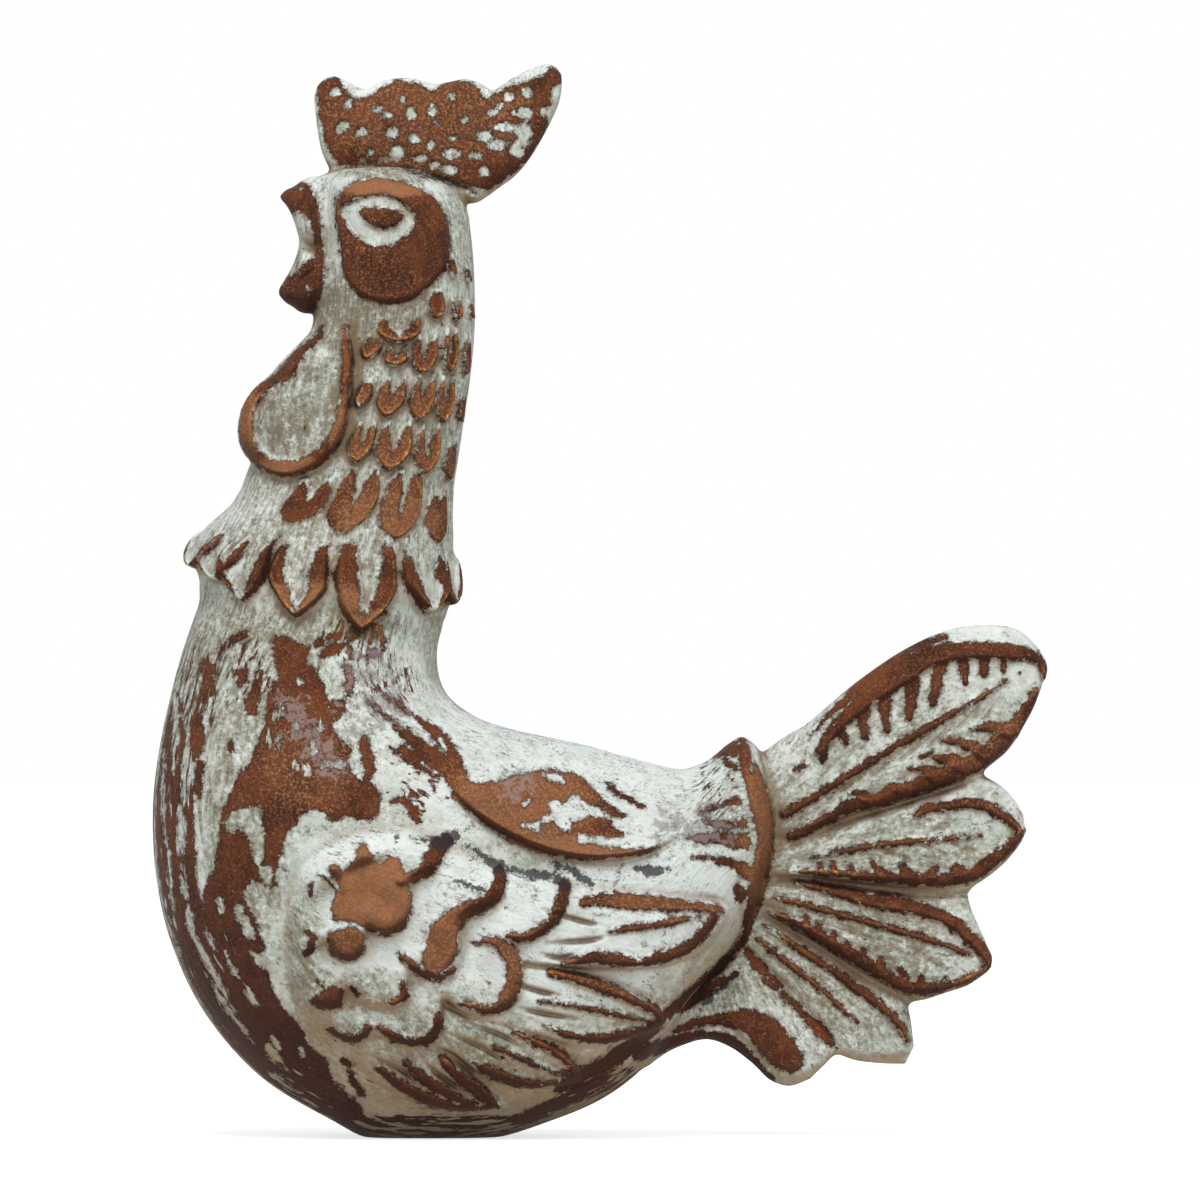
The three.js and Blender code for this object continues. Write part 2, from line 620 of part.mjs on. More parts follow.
const PETAL_DEPTH = { inward: 4, outward: 12 };
const PETAL_OVERLAP = 1.2;

function petalOutline(width, top, tip) {
  const drop = top - tip;
  const half = width / 2;
  const sides = [[1, 0], [1, 0.55], [0.7, 0.86], [0, 1]];
  const right = sides.map(([x, down]) => new THREE.Vector2(x * half, top - down * drop));
  const left = right.slice(0, -1).reverse().map((point) => new THREE.Vector2(-point.x, point.y));
  return [...right, ...left];
}

// A prism that stands square to the neck's skin at an angle from the nape
function petalPrism(outline, angle, z, ribs) {
  const rib = ribAt(ribs, z);
  const foot = ringPoint(rib, roundPoint(angle));
  const before = ringPoint(rib, roundPoint(angle - SMALL_STEP));
  const after = ringPoint(rib, roundPoint(angle + SMALL_STEP));
  const tangent = after.sub(before).setZ(0).normalize();
  const outward = new THREE.Vector3(tangent.y, -tangent.x, 0);
  const across = new THREE.Vector3(-outward.y, outward.x, 0);
  const start = foot.addScaledVector(outward, -PETAL_DEPTH.inward);
  const depth = PETAL_DEPTH.inward + PETAL_DEPTH.outward;
  const geometry = new THREE.ExtrudeGeometry(new THREE.Shape(outline), { depth, bevelEnabled: false });
  const frame = new THREE.Matrix4().makeBasis(across, new THREE.Vector3(0, 0, 1), outward);
  frame.setPosition(start.x, start.y, 0);
  geometry.applyMatrix4(frame);
  return solid(geometry);
}

function petalSpacing(rib, angle, around) {
  const [before, after] = [-1, 1].map((turn) => ringPoint(rib, roundPoint(angle + (turn * Math.PI) / around)));
  return before.distanceTo(after);
}

function petalAngles(row) {
  const step = (2 * Math.PI) / row.around;
  if (row.reach === undefined) {
    return Array.from({ length: row.around }, (_, i) => (i + row.first) * step);
  }
  return Array.from({ length: 2 * row.reach + 1 }, (_, i) => (i - row.reach) * step);
}

function petalRow(row, tipAt, grow = 0) {
  const top = neckBase + row.top * NECK_HEIGHT;
  const ribs = row.ribs;
  const prisms = petalAngles(row).map((angle) => {
    const tip = neckBase + tipAt(angle) * NECK_HEIGHT;
    const middle = (top + tip) / 2;
    const width = petalSpacing(ribAt(ribs, middle), angle, row.around) * PETAL_OVERLAP + 2 * grow;
    return petalPrism(petalOutline(width, top + grow, tip - grow), angle, middle, ribs);
  });
  return joined(prisms);
}

function hackleShell(row) {
  const levels = [0, 1];
  const [top, tip] = [row.top, row.tip].map((share) => neckBase + share * NECK_HEIGHT);
  const rings = [0, ...levels, 1].map((level, i, all) => {
    const outside = i === 0 ? JOINT_GAP : i === all.length - 1 ? -JOINT_GAP : 0;
    const rib = ribAt(throatRibs, top + (tip - top) * level + outside);
    const relief = HACKLE_ROOT_RELIEF + (HACKLE_TIP_RELIEF - HACKLE_ROOT_RELIEF) * level;
    return ROUND_SECTION.map((place) => ringPoint(rib, place, relief));
  });
  return solid(loftGeometry(rings));
}

function makeHackles(row, above, keepClear) {
  const tipAt = () => row.tip;
  let band = petalRow(row, tipAt).intersect(hackleShell(row)).subtract(throatClear);
  if (above) band = band.subtract(petalRow(above, () => above.tip, JOINT_GAP));
  return band.subtract(keepClear);
}

const ruffRibs = placeRibs(neckFrame, NECK_WIDTH, CAPE_RIBS).reverse();

function ruffTip(angle) {
  const turn = Math.cos(angle);
  const end = turn > 0 ? RUFF.back : RUFF.front;
  return RUFF.side + (end - RUFF.side) * Math.abs(turn) ** 1.5;
}

function makeRuff(above) {
  const row = { ...RUFF, around: RUFF_PETALS, ribs: ruffRibs };
  const collar = petalRow(row, ruffTip).intersect(loft(ruffRibs));
  const higher = petalRow(above, () => above.tip, JOINT_GAP);
  return collar.subtract(throatClear).subtract(bodyClear).subtract(higher);
}

// Saddle feathers lie over the back from one flank to the other

const saddleOutline = placeOutline(bodyFrame, SADDLE_OUTLINE);

function makeSaddle() {
  return fullSlab(saddleOutline).intersect(bodyForm(SADDLE_RELIEF)).subtract(bodyClear);
}

// Wings: coverts in three layers over four primaries

function wingLayer(table, side, relief) {
  return sideSlab(placeOutline(wingFrame, table), side).intersect(bodyForm(relief));
}

function makeWing(side) {
  const primaries = [PRIMARY_1, PRIMARY_2, PRIMARY_3, PRIMARY_4];
  const level = (count) => WING_RELIEF + count * WING_LAYER;
  const layers = [
    wingLayer(WING_OUTLINE, side, level(0)),
    ...primaries.map((table) => wingLayer(table, side, level(1))),
    wingLayer(LOWER_COVERTS, side, level(2)),
    wingLayer(UPPER_COVERTS, side, level(3)),
    wingLayer(SHOULDER, side, level(4)),
  ];
  const saddle = sideSlab(widened(saddleOutline, JOINT_GAP), side);
  return joined(layers).subtract(bodyClear).subtract(saddle);
}

// Tail feathers: rounded plates whose section has a raised edge, a sunk field and a midrib

const FEATHER_FACE = [
  { along: 1, across: 0, sunk: 0 },
  { along: 0.92, across: 0.7, sunk: 0 },
  { along: 0.74, across: 1, sunk: 0 },
  { along: 0.6, across: 1, sunk: 1 },
  { along: 0.12, across: 1, sunk: 1 },
  { along: 0, across: 1, sunk: 0.2 },
];

function featherSection() {
  const upper = FEATHER_FACE;
  const lower = FEATHER_FACE.slice(0, -1).reverse().map((place) => ({ ...place, along: -place.along }));
  const near = [...upper, ...lower];
  const far = near.slice(1, -1).reverse().map((place) => ({ ...place, across: -place.across, sunk: -place.sunk }));
  return [...near, ...far];
}

const FEATHER_SECTION = featherSection();

// The field is full depth along the feather and runs out at its root and its tip
function featherRing(rib, index, count) {
  const depth = index < 2 || index > count - 3 ? 0 : TAIL_FIELD_DEPTH;
  return FEATHER_SECTION.map(({ along, across, sunk }) => {
    const point = ringPoint(rib, [along, across]);
    point.y -= sunk * depth;
    return point;
  });
}

function makeFeather(table) {
  const ribs = placeRibs(tailFrame, TAIL_THICKNESS, table);
  const rings = ribs.map((rib, i) => featherRing(rib, i, ribs.length));
  return solid(loftGeometry(rings)).subtract(bodyClear);
}

function makeSickle() {
  const form = plateForm(sickleFrame, SICKLE_THICKNESS, SICKLE_RIBS);
  return form.subtract(bodyClear).subtract(plateForm(tailFrame, TAIL_THICKNESS, FEATHER_4, JOINT_GAP));
}

// The assembly

const BROWN_GLAZE = { color: 0x6e3f28, roughness: 0.5, metalness: 0 };
const WASHED_GLAZE = { color: 0xb9bdae, roughness: 0.75, metalness: 0 };

const group = new THREE.Group();

function addPart(name, manifold, finish) {
  const mesh = new THREE.Mesh(geometryOf(manifold), new THREE.MeshStandardMaterial(finish));
  mesh.name = name;
  group.add(mesh);
}

addPart("body", makeBody(), WASHED_GLAZE);
addPart("neck", makeNeck(), WASHED_GLAZE);
addPart("head", makeHead(), WASHED_GLAZE);
addPart("comb", makeComb(), BROWN_GLAZE);
addPart("upper_beak", makeUpperBeak(), BROWN_GLAZE);
addPart("lower_beak", makeLowerBeak(), BROWN_GLAZE);

const pair = wattlePair();
for (const [name, side] of [["left", -1], ["right", 1]]) {
  addPart(`cheek_${name}`, makeCheek(side), BROWN_GLAZE);
  addPart(`eye_${name}`, makeEye(side), WASHED_GLAZE);
  addPart(`wattle_${name}`, makeWattle(pair, side), BROWN_GLAZE);
  addPart(`wing_${name}`, makeWing(side), WASHED_GLAZE);
}

const wattleRoom = fullSlab(widened(placeOutline(wattleFrame, WATTLE_OUTLINE), JOINT_GAP));
const cheekRoom = fullSlab(widened(placeOutline(cheekFrame, CHEEK_OUTLINE), JOINT_GAP));
const faceRoom = wattleRoom.add(cheekRoom);
const rows = [...HACKLE_ROWS, LOWEST_HACKLES].map((row) => ({ ...row, ribs: throatRibs }));
rows.forEach((row, i) => addPart(row.name, makeHackles(row, rows[i - 1], faceRoom), BROWN_GLAZE));
addPart(RUFF.name, makeRuff(rows[rows.length - 1]), BROWN_GLAZE);

addPart("saddle", makeSaddle(), WASHED_GLAZE);
const feathers = [FEATHER_1, FEATHER_2, FEATHER_3, FEATHER_4];
feathers.forEach((table, i) => addPart(`tail_feather_${i + 1}`, makeFeather(table), WASHED_GLAZE));
addPart("sickle_feather", makeSickle(), BROWN_GLAZE);

export default group;
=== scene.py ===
"""The looks of the ceramic rooster figurine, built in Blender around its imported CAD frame.

The bird is built as one fused clay form: lofts for its parts, joined with small fillets in a volume,
with the feathers carved into it. The surface is then cut along the CAD nodes, one piece for each.
Places are drawn in pixels of the side view, from the bird's left, and lengths are in millimetres.
"""

import math

import bpy
import numpy as np
import openvdb
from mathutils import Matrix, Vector


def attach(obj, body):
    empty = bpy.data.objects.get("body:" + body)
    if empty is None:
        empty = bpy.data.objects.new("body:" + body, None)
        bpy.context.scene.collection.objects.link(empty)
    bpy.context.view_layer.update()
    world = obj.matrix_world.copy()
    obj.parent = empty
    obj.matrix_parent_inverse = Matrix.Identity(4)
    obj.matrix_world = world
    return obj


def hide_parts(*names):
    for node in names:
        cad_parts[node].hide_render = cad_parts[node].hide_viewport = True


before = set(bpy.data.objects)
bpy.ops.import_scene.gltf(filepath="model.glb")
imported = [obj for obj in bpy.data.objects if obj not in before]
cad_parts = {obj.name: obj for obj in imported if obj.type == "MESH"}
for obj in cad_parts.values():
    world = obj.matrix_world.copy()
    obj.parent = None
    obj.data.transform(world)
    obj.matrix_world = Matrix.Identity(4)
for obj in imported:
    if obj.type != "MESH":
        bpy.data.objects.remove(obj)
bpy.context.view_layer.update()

# The side view: millimetres to a pixel, and the pixels of the row's origin and of the view's middle
PIXEL = 0.2
ORIGIN_U = 428
ORIGIN_V = 1137
VIEW_MIDDLE = 600

# The volume, whose LOW and SIZE are counted in cells, and how far the surface is felt round a point
VOXEL = 0.42
BAND_VOXELS = 15
BAND = BAND_VOXELS * VOXEL
LOW = np.array([-135, 0, -8])
SIZE = np.array([438, 98, 532])
FOOT_CELLS = 60
SLOPE_STEP = 0.35
FEEL_REACHES = (1.2, 3.2, -0.9)

# The forms that are joined, by the number that a cell of the volume keeps
OWNERS = [
    "none", "body", "throat", "ruff", "comb", "upper_beak", "lower_beak", "wattle", "tail_feather_1",
    "tail_feather_2", "tail_feather_3", "tail_feather_4", "sickle_feather", "web",
]

# How the names of the nodes start that are mostly brown
BROWN_NODES = ("comb", "upper_beak", "lower_beak", "cheek", "wattle", "hackle", "neck_ruff", "sickle")

# Sections: 2 is an ellipse, and more is squarer. Thickness is millimetres to a pixel of half width
ROUNDNESS = 2.3
SICKLE_ROUNDNESS = 2.4
FLAT_ROUNDNESS = 3
TAIL_THICKNESS = 0.15
SICKLE_THICKNESS = 0.167

# Clay sizes in millimetres
FOOT_EDGE = 0.4
POUR_HOLE_RADIUS = 3.5
POUR_HOLE_X = -7.5
POUR_HOLE_DEPTH = 9.0
POUR_HOLE_EDGE = 0.5
BEAK_FILLET = 2.0
COMB_FILLET = 1.6
FEATHER_FILLET = 1.2
TAIL_ROOT_FILLET = 1.5
SICKLE_FILLET = 3.0
WATTLE_FILLET = 1.0
WATTLE_EDGE = 1.5
WATTLE_SPLIT_DEPTH = 1.4
WATTLE_SPLIT_HALF = 1.3
RUFF_FILLET = 0.8
RUFF_SUNK = 0.9
RUFF_SLANT = 0.7
RUFF_EDGE = 1.2
SKIRT_DEPTH = 1.7
SKIRT_FALL = 3.5
SKIRT_FILLET = 3.5
WEB_HALF = 5.0
WEB_THINNING = 0.0075
WEB_EDGE = 2.0
HACKLE_ROOT = 0.4
HACKLE_RISE = 1.0
HACKLE_RIM = 0.35
HACKLE_GROOVE = 0.9
RUFF_FACE = 0.9
RUFF_RIM = 0.5
RUFF_GROOVE = 1.0
CHEEK_DEPTH = 3

# Places on the side view, in pixels
RUFF_TOP_V = 538
SKIRT_V = (585, 625)
WORN_PETALS_V = 250
HACKLES_V = 255
HEAD_FOOT_V = 305
BODY_TOP_V = 625
BELLY_V = 900
BREAST_U = 330
TAIL_ROOT_U = 700
TAIL_ROOT = (700, 880)
WING_ROOT = (100, 760)

# Corners of windows: pixels along, millimetres across and pixels down
WEB_BOX = ((660, 0, 1100), (1050, 7, 640))
NECK_BOX = ((170, 0, 560), (490, 26, 250))

# Petals: how far they stand out and where they are widest, and the lean of the ruff's front ones
PETAL_RAISED = 5
PETAL_WAIST = 0.8
RUFF_LEAN = 16

# Brush strokes in millimetres, and the wash's chance to be off where nothing is drawn
WING_REACH = 85
TAIL_REACH = 48
TRUNK_REACH = 60
BRUSH_LEAN = 0.8
RIGHT_SIDE_SHIFT = 200
LOW_CHANCE = 0.5
BACK_CHANCE = 0.36

# The sheets that are drawn on: pixels of the side view, and half degrees round the neck with pixels down
SIDE_SHEET = ((130, 1070), (40, 1160))
NECK_SHEET = ((-4, 366), (240, 650))

# A drawn field's value where nothing is near, and how steeply a soft patch rises at its edge
FAR = -40.0
PATCH_EDGE = 1.6

# How squarely the surface has to face the side for the drawing to be carved there, and to be seen there
CARVED_FACING = (0.02, 0.4)
DRAWN_FACING = (0.05, 0.28)

# Ribs of each form: (back or top), (front or bottom), half width across
BODY = [
    ((444, 618), (194, 618), 98), ((437, 650), (183, 650), 105), ((440, 680), (172, 690), 117),
    ((452, 700), (160, 745), 132), ((478, 718), (153, 805), 146), ((510, 729), (156, 875), 154),
    ((540, 736), (172, 945), 157), ((566, 742), (206, 1015), 156), ((590, 748), (262, 1078), 152),
    ((612, 755), (335, 1122), 146), ((623, 758), (372, 1139), 142), ((634, 761), (430, 1143), 138),
    ((646, 764), (490, 1139), 132), ((660, 767), (542, 1124), 124), ((684, 769), (602, 1099), 112),
    ((708, 760), (650, 1061), 98), ((728, 744), (692, 1002), 86), ((743, 737), (728, 955), 74),
    ((760, 752), (752, 915), 60), ((773, 795), (769, 862), 38),
]
THROAT = [
    ((444, 618), (194, 618), 98), ((446, 580), (208, 580), 91), ((449, 540), (223, 540), 85),
    ((452, 500), (237, 500), 79), ((458, 460), (252, 460), 75), ((464, 420), (270, 420), 72),
    ((470, 380), (290, 380), 70), ((474, 340), (308, 340), 69), ((475, 305), (316, 305), 69),
    ((474, 270), (318, 270), 69), ((471, 235), (320, 235), 68), ((466, 207), (318, 205), 65),
    ((450, 184), (322, 184), 55), ((424, 171), (338, 171), 40), ((400, 167), (362, 167), 18),
]
CAPE = [
    ((452, 495), (238, 495), 80), ((455, 525), (204, 523), 92), ((459, 555), (186, 548), 103),
    ((463, 585), (184, 566), 107), ((463, 600), (194, 586), 108), ((460, 632), (196, 632), 108),
]
COMB = [
    ((314, 97), (317, 126), 4), ((319, 84), (322, 152), 12), ((332, 76), (333, 172), 17),
    ((348, 82), (350, 178), 19), ((365, 89), (368, 183), 19), ((383, 81), (386, 186), 19),
    ((402, 78), (405, 188), 20), ((420, 80), (424, 191), 20), ((435, 84), (440, 196), 20),
    ((449, 82), (458, 201), 20), ((466, 79), (475, 203), 20), ((480, 83), (488, 196), 20),
    ((493, 90), (500, 187), 19), ((508, 81), (515, 176), 19), ((526, 71), (530, 158), 18),
    ((548, 64), (545, 133), 16), ((560, 72), (557, 108), 10), ((562, 83), (561, 94), 4),
]
UPPER_BEAK = [
    ((345, 172), (345, 251), 44), ((322, 176), (322, 251), 38), ((309, 177), (309, 250), 34),
    ((300, 182), (301, 243), 29), ((293, 187), (294, 221), 24), ((286, 190), (288, 208), 19),
    ((280, 196), (281, 199), 9),
]
LOWER_BEAK = [
    ((345, 252), (345, 304), 44), ((322, 250), (322, 306), 38), ((309, 246), (309, 313), 34),
    ((300, 247), (300, 312), 29), ((293, 265), (293, 307), 24), ((285, 279), (285, 302), 18),
    ((279, 289), (279, 295), 9),
]
WATTLE = [
    ((430, 300), (330, 300), 66), ((430, 316), (322, 316), 68), ((430, 345), (301, 345), 71),
    ((430, 375), (275, 375), 73), ((430, 400), (253, 400), 75), ((430, 430), (242, 430), 77),
    ((430, 455), (249, 455), 76), ((430, 471), (266, 471), 73), ((430, 479), (283, 479), 68),
]
TAIL_1 = [
    ((745, 768), (738, 848), 38), ((768, 749), (772, 846), 40), ((789, 734), (812, 834), 39),
    ((808, 723), (842, 821), 38), ((850, 687), (890, 802), 35), ((900, 652), (945, 784), 31),
    ((945, 631), (1002, 756), 28), ((985, 625), (1024, 720), 25), ((1018, 630), (1040, 690), 20),
    ((1040, 650), (1046, 670), 8),
]
TAIL_2 = [
    ((738, 851), (738, 873), 40), ((790, 847), (790, 879), 38), ((840, 825), (840, 884), 36),
    ((890, 806), (890, 888), 33), ((940, 789), (940, 891), 30), ((975, 777), (975, 884), 27),
    ((995, 782), (1000, 867), 24), ((1012, 797), (1016, 849), 18), ((1023, 814), (1025, 831), 8),
]
TAIL_3 = [
    ((738, 877), (738, 895), 40), ((785, 883), (775, 911), 38), ((830, 887), (810, 937), 36),
    ((880, 892), (850, 964), 33), ((925, 895), (890, 988), 30), ((961, 895), (918, 1000), 28),
    ((972, 914), (946, 992), 24), ((983, 936), (968, 985), 18), ((991, 956), (986, 972), 8),
]
TAIL_4 = [
    ((726, 890), (718, 922), 38), ((757, 906), (748, 953), 36), ((788, 929), (775, 983), 34),
    ((825, 957), (800, 1014), 31), ((860, 980), (822, 1042), 28), ((890, 998), (848, 1058), 26),
    ((908, 1010), (876, 1063), 20), ((914, 1046), (905, 1064), 8),
]
SICKLE = [
    ((640, 1010), (648, 1060), 28), ((672, 1000), (680, 1046), 30), ((703, 980), (706, 1039), 30),
    ((735, 960), (730, 1047), 30), ((762, 970), (752, 1063), 30), ((790, 1003), (770, 1080), 27),
    ((812, 1032), (790, 1086), 22), ((825, 1053), (810, 1078), 9),
]
# The whole trunk, from the crown down to the rump
TRUNK = [*reversed(THROAT), *BODY[1:]]

# What is carved and worn on the bird's side, by region. Strokes are (u, v, half width) rows, areas are
# (u, v) outlines and spots are (u, v, half width, half height).
COMB_FACE = [
    [(318, 96), (321, 83), (334, 78), (342, 80), (344, 88), (352, 95), (366, 100), (378, 91), (390, 85),
     (401, 80), (410, 83), (420, 84), (428, 91), (436, 90), (446, 82), (460, 81), (474, 86), (487, 99),
     (500, 92), (512, 86), (528, 82), (540, 77), (551, 68), (560, 72), (562, 82), (552, 88), (550, 104),
     (540, 112), (548, 122), (540, 142), (528, 160), (508, 177), (490, 190), (478, 188), (455, 181),
     (440, 178), (425, 172), (405, 169), (385, 168), (365, 166), (345, 167), (336, 160), (326, 142),
     (320, 120)],
]
COMB_WASH = [
    (335, 93, 5, 4), (348, 104, 5, 5), (343, 127, 8, 5), (338, 131, 5, 3), (362, 133, 6, 5),
    (392, 133, 7, 6), (378, 110, 5, 4), (387, 116, 5, 3), (404, 101, 3, 4), (411, 114, 6, 7),
    (433, 111, 4, 7), (452, 99, 4, 4), (435, 124, 5, 3), (464, 122, 4, 5), (414, 139, 6, 5),
    (431, 146, 4, 5), (397, 154, 8, 9), (371, 152, 4, 3), (363, 160, 5, 3), (385, 161, 6, 3),
    (452, 155, 9, 6), (454, 140, 5, 3), (475, 157, 6, 4), (420, 160, 9, 4), (434, 166, 5, 4),
    (448, 170, 8, 5), (486, 138, 9, 6), (508, 97, 5, 5), (493, 113, 6, 4), (500, 107, 4, 4),
    (504, 127, 10, 5), (497, 146, 10, 5), (528, 94, 6, 5), (525, 114, 8, 7), (524, 134, 9, 14),
    (517, 152, 8, 7), (544, 113, 5, 6), (484, 172, 6, 5), (514, 113, 3, 2), (470, 106, 2, 2),
    (420, 128, 2, 2),
]
COMB_TOP_WASH = [
    [(343, 80, 4), (352, 86, 6), (364, 92, 5), (374, 86, 5), (388, 80, 3)],
    [(426, 83, 2), (432, 87, 3), (438, 83, 2)],
    [(478, 85, 2), (487, 92, 5), (500, 87, 4), (515, 79, 5), (530, 74, 6), (546, 66, 3)],
    [(314, 84, 3), (313, 110, 3), (320, 140, 3), (330, 165, 5)],
]
COMB_BASE_LINE = [
    [(404, 170, 1), (416, 174, 2), (440, 180, 2), (462, 187, 2), (476, 194, 1)],
]
CHEEK = [
    (336, 204), (344, 191), (360, 182), (384, 180), (410, 186), (430, 196), (444, 211), (450, 232),
    (451, 254), (445, 271), (434, 285), (419, 298), (402, 304), (381, 305), (363, 299), (350, 286),
    (343, 268), (340, 246), (337, 226),
]
EYE = [
    (341, 210), (352, 204), (364, 199), (384, 197), (400, 202), (412, 213), (416, 222), (411, 236),
    (401, 241), (392, 249), (378, 248), (364, 243), (355, 236), (348, 226),
]
PUPIL = [
    (361, 214), (370, 210), (386, 210), (399, 213), (405, 218), (399, 226), (388, 230), (375, 229),
    (366, 222),
]
BEAK_BROWN = [
    [(278, 197), (284, 189), (296, 185), (304, 184), (311, 190), (317, 202), (320, 216), (322, 232),
     (322, 250), (316, 254), (315, 238), (312, 226), (306, 216), (298, 212), (291, 215), (283, 208)],
    [(277, 291), (287, 279), (300, 270), (312, 260), (317, 250), (323, 252), (325, 268), (324, 286),
     (320, 302), (313, 314), (302, 314), (290, 308), (280, 301)],
]
BEAK_LINE = [(308, 196, 3), (316, 212, 3), (320, 232, 3), (320, 252, 4), (312, 266, 3), (300, 276, 2)]
BEAK_WASH = [(301, 189, 3, 2), (309, 292, 3, 4)]
WATTLE_OUTLINE = [
    (322, 316), (336, 316), (349, 332), (353, 365), (352, 395), (348, 420), (340, 443), (325, 462),
    (305, 474), (283, 478), (262, 471), (243, 458), (230, 434), (226, 408), (240, 380), (262, 352),
    (290, 330),
]
WATTLE_RIM = [
    [(322, 329, 2), (318, 339, 4), (302, 352, 5), (290, 367, 5), (276, 380, 5), (260, 392, 6),
     (249, 407, 7), (246, 425, 7), (249, 444, 7), (259, 459, 7), (276, 468, 7), (296, 469, 7),
     (315, 461, 7), (331, 447, 7), (340, 430, 5), (344, 410, 5), (347, 385, 5), (348, 360, 5),
     (346, 338, 3), (347, 327, 2)], [(312, 342, 4), (300, 355, 5), (290, 372, 7), (284, 381, 4)],
]
WATTLE_FIELD = [
    (325, 345), (339, 346), (341, 380), (338, 410), (329, 433), (310, 452), (288, 459), (268, 452),
    (257, 438), (255, 420), (262, 400), (285, 388), (302, 365),
]

# Hackle petals: the pixel that a petal's middle is seen at near its tip, where it starts and ends down the
# neck, its half width round the neck, the groove's half width and the share of its length it runs
HACKLES = [
    [(455, 258, 279, 5, 0, 0), (471, 268, 284, 5, 0, 0)],
    [(438, 291, 321, 9, 0, 0), (475, 303, 320, 7, 0, 0), (459, 299, 322, 8, 3, 0.4),
     (400, 316, 344, 22, 16, 0.7)],
    [(370, 334, 361, 10, 4, 0.35), (396, 347, 368, 13, 6, 0.4), (424, 337, 375, 14, 6, 0.5),
     (451, 330, 374, 10, 3, 0.55), (469, 337, 376, 9, 3, 0.4)],
    [(362, 382, 409, 8, 0, 0), (389, 379, 418, 14, 5, 0.45), (421, 376, 422, 13, 5, 0.5),
     (445, 378, 424, 12, 4, 0.45), (464, 394, 424, 10, 3, 0.3)],
    [(359, 424, 464, 13, 5, 0.5), (392, 422, 471, 18, 8, 0.55), (427, 426, 475, 15, 7, 0.55),
     (452, 443, 482, 12, 0, 0)],
    [(296, 481, 525, 24, 7, 0.5), (347, 470, 535, 25, 7, 0.55), (402, 474, 539, 24, 4, 0.66),
     (445, 496, 543, 20, 0, 0)],
]
RUFF = [
    (186, 522, 569, 34, 30, 0.88), (208, 526, 582, 28, 26, 0.88), (238, 532, 602, 28, 20, 0.82),
    (298, 536, 618, 30, 13, 0.8), (368, 534, 632, 32, 10, 0.74), (440, 543, 613, 31, 22, 0.86),
    (462, 548, 606, 30, 20, 0.8),
]

SADDLE_OUTLINE = [
    (428, 690), (426, 745), (440, 768), (452, 788), (475, 811), (510, 833), (550, 850), (590, 858),
    (625, 857), (655, 848), (690, 830), (712, 808), (722, 765), (735, 690),
]
SADDLE_RIDGE = [
    [(452, 782, 3), (480, 808, 5), (512, 828, 6), (548, 843, 6), (585, 850, 5), (622, 850, 3),
     (655, 845, 1)],
]
SADDLE_BROWN = [
    [(396, 724, 3), (412, 737, 7), (432, 752, 9), (450, 768, 9), (463, 786, 10)],
    [(418, 716, 2), (432, 728, 5), (446, 742, 6), (456, 758, 6), (464, 775, 5)],
    [(368, 700, 1), (382, 711, 3), (396, 720, 2)], [(384, 692, 1), (398, 703, 3), (412, 714, 2)],
    [(392, 746, 1), (405, 756, 3), (418, 766, 2)],
    [(463, 788, 9), (488, 796, 15), (515, 800, 24), (545, 790, 21), (570, 782, 11), (583, 787, 8)],
    [(455, 792, 4), (480, 810, 7), (510, 828, 9), (545, 842, 9), (580, 849, 8), (612, 851, 5),
     (640, 850, 3), (658, 846, 1)], [(585, 790, 7), (600, 804, 6), (613, 812, 4), (625, 814, 1)],
    [(548, 830, 9), (575, 828, 11), (600, 824, 9), (612, 831, 5), (622, 833, 1)],
    [(606, 782, 2), (618, 792, 3), (632, 800, 3), (643, 806, 2)],
]
SADDLE_WASH = [
    [(404, 722, 1), (420, 732, 3), (434, 744, 2)], [(424, 762, 1), (436, 770, 2)],
    [(440, 736, 1), (448, 750, 2)], [(556, 806, 7), (561, 816, 8), (566, 824, 5)],
    [(575, 812, 7), (592, 809, 5), (602, 811, 2)], [(545, 772, 2), (556, 777, 4), (563, 781, 2)],
    [(580, 835, 3), (588, 838, 3)], [(524, 803, 2), (530, 799, 2)],
]
DARK_STAINS = [
    [(508, 867, 3), (530, 871, 5), (548, 874, 5)],
    [(556, 862, 3), (572, 868, 4), (586, 878, 5), (592, 882, 2)],
    [(636, 866, 3), (650, 869, 6), (668, 868, 2)], [(430, 836, 3), (444, 840, 8), (456, 833, 6)],
    [(466, 842, 2), (478, 849, 2), (490, 858, 4), (500, 864, 7)], [(555, 874, 5), (566, 884, 5)],
    [(460, 878, 3), (474, 884, 3), (486, 888, 3)], [(413, 835, 2), (428, 837, 2)],
    [(398, 834, 3), (398, 838, 2)], [(700, 1008, 2), (720, 988, 3), (738, 969, 1)],
]

WING_OUTLINE = [
    (290, 900), (300, 860), (340, 832), (400, 823), (455, 845), (520, 868), (600, 884), (680, 892),
    (728, 906), (714, 938), (692, 962), (672, 1012), (655, 1036), (605, 1047), (586, 1074), (550, 1088),
    (508, 1106), (470, 1110), (425, 1100), (375, 1075), (330, 1045), (297, 1005), (286, 955),
]
PRIMARY_4 = [
    (330, 1020), (380, 1030), (430, 1045), (470, 1068), (508, 1104), (470, 1109), (430, 1105),
    (390, 1085), (350, 1055),
]
PRIMARY_3 = [
    (430, 1000), (480, 1015), (530, 1030), (565, 1050), (583, 1076), (550, 1086), (520, 1085),
    (480, 1068), (430, 1035),
]
PRIMARY_2 = [
    (470, 955), (530, 962), (580, 970), (630, 988), (656, 1002), (668, 1021), (640, 1034), (605, 1042),
    (570, 1041), (520, 1028), (460, 1005),
]
PRIMARY_1 = [
    (500, 900), (560, 885), (620, 886), (680, 894), (727, 906), (715, 935), (690, 955), (650, 964),
    (600, 966), (540, 963), (490, 950),
]
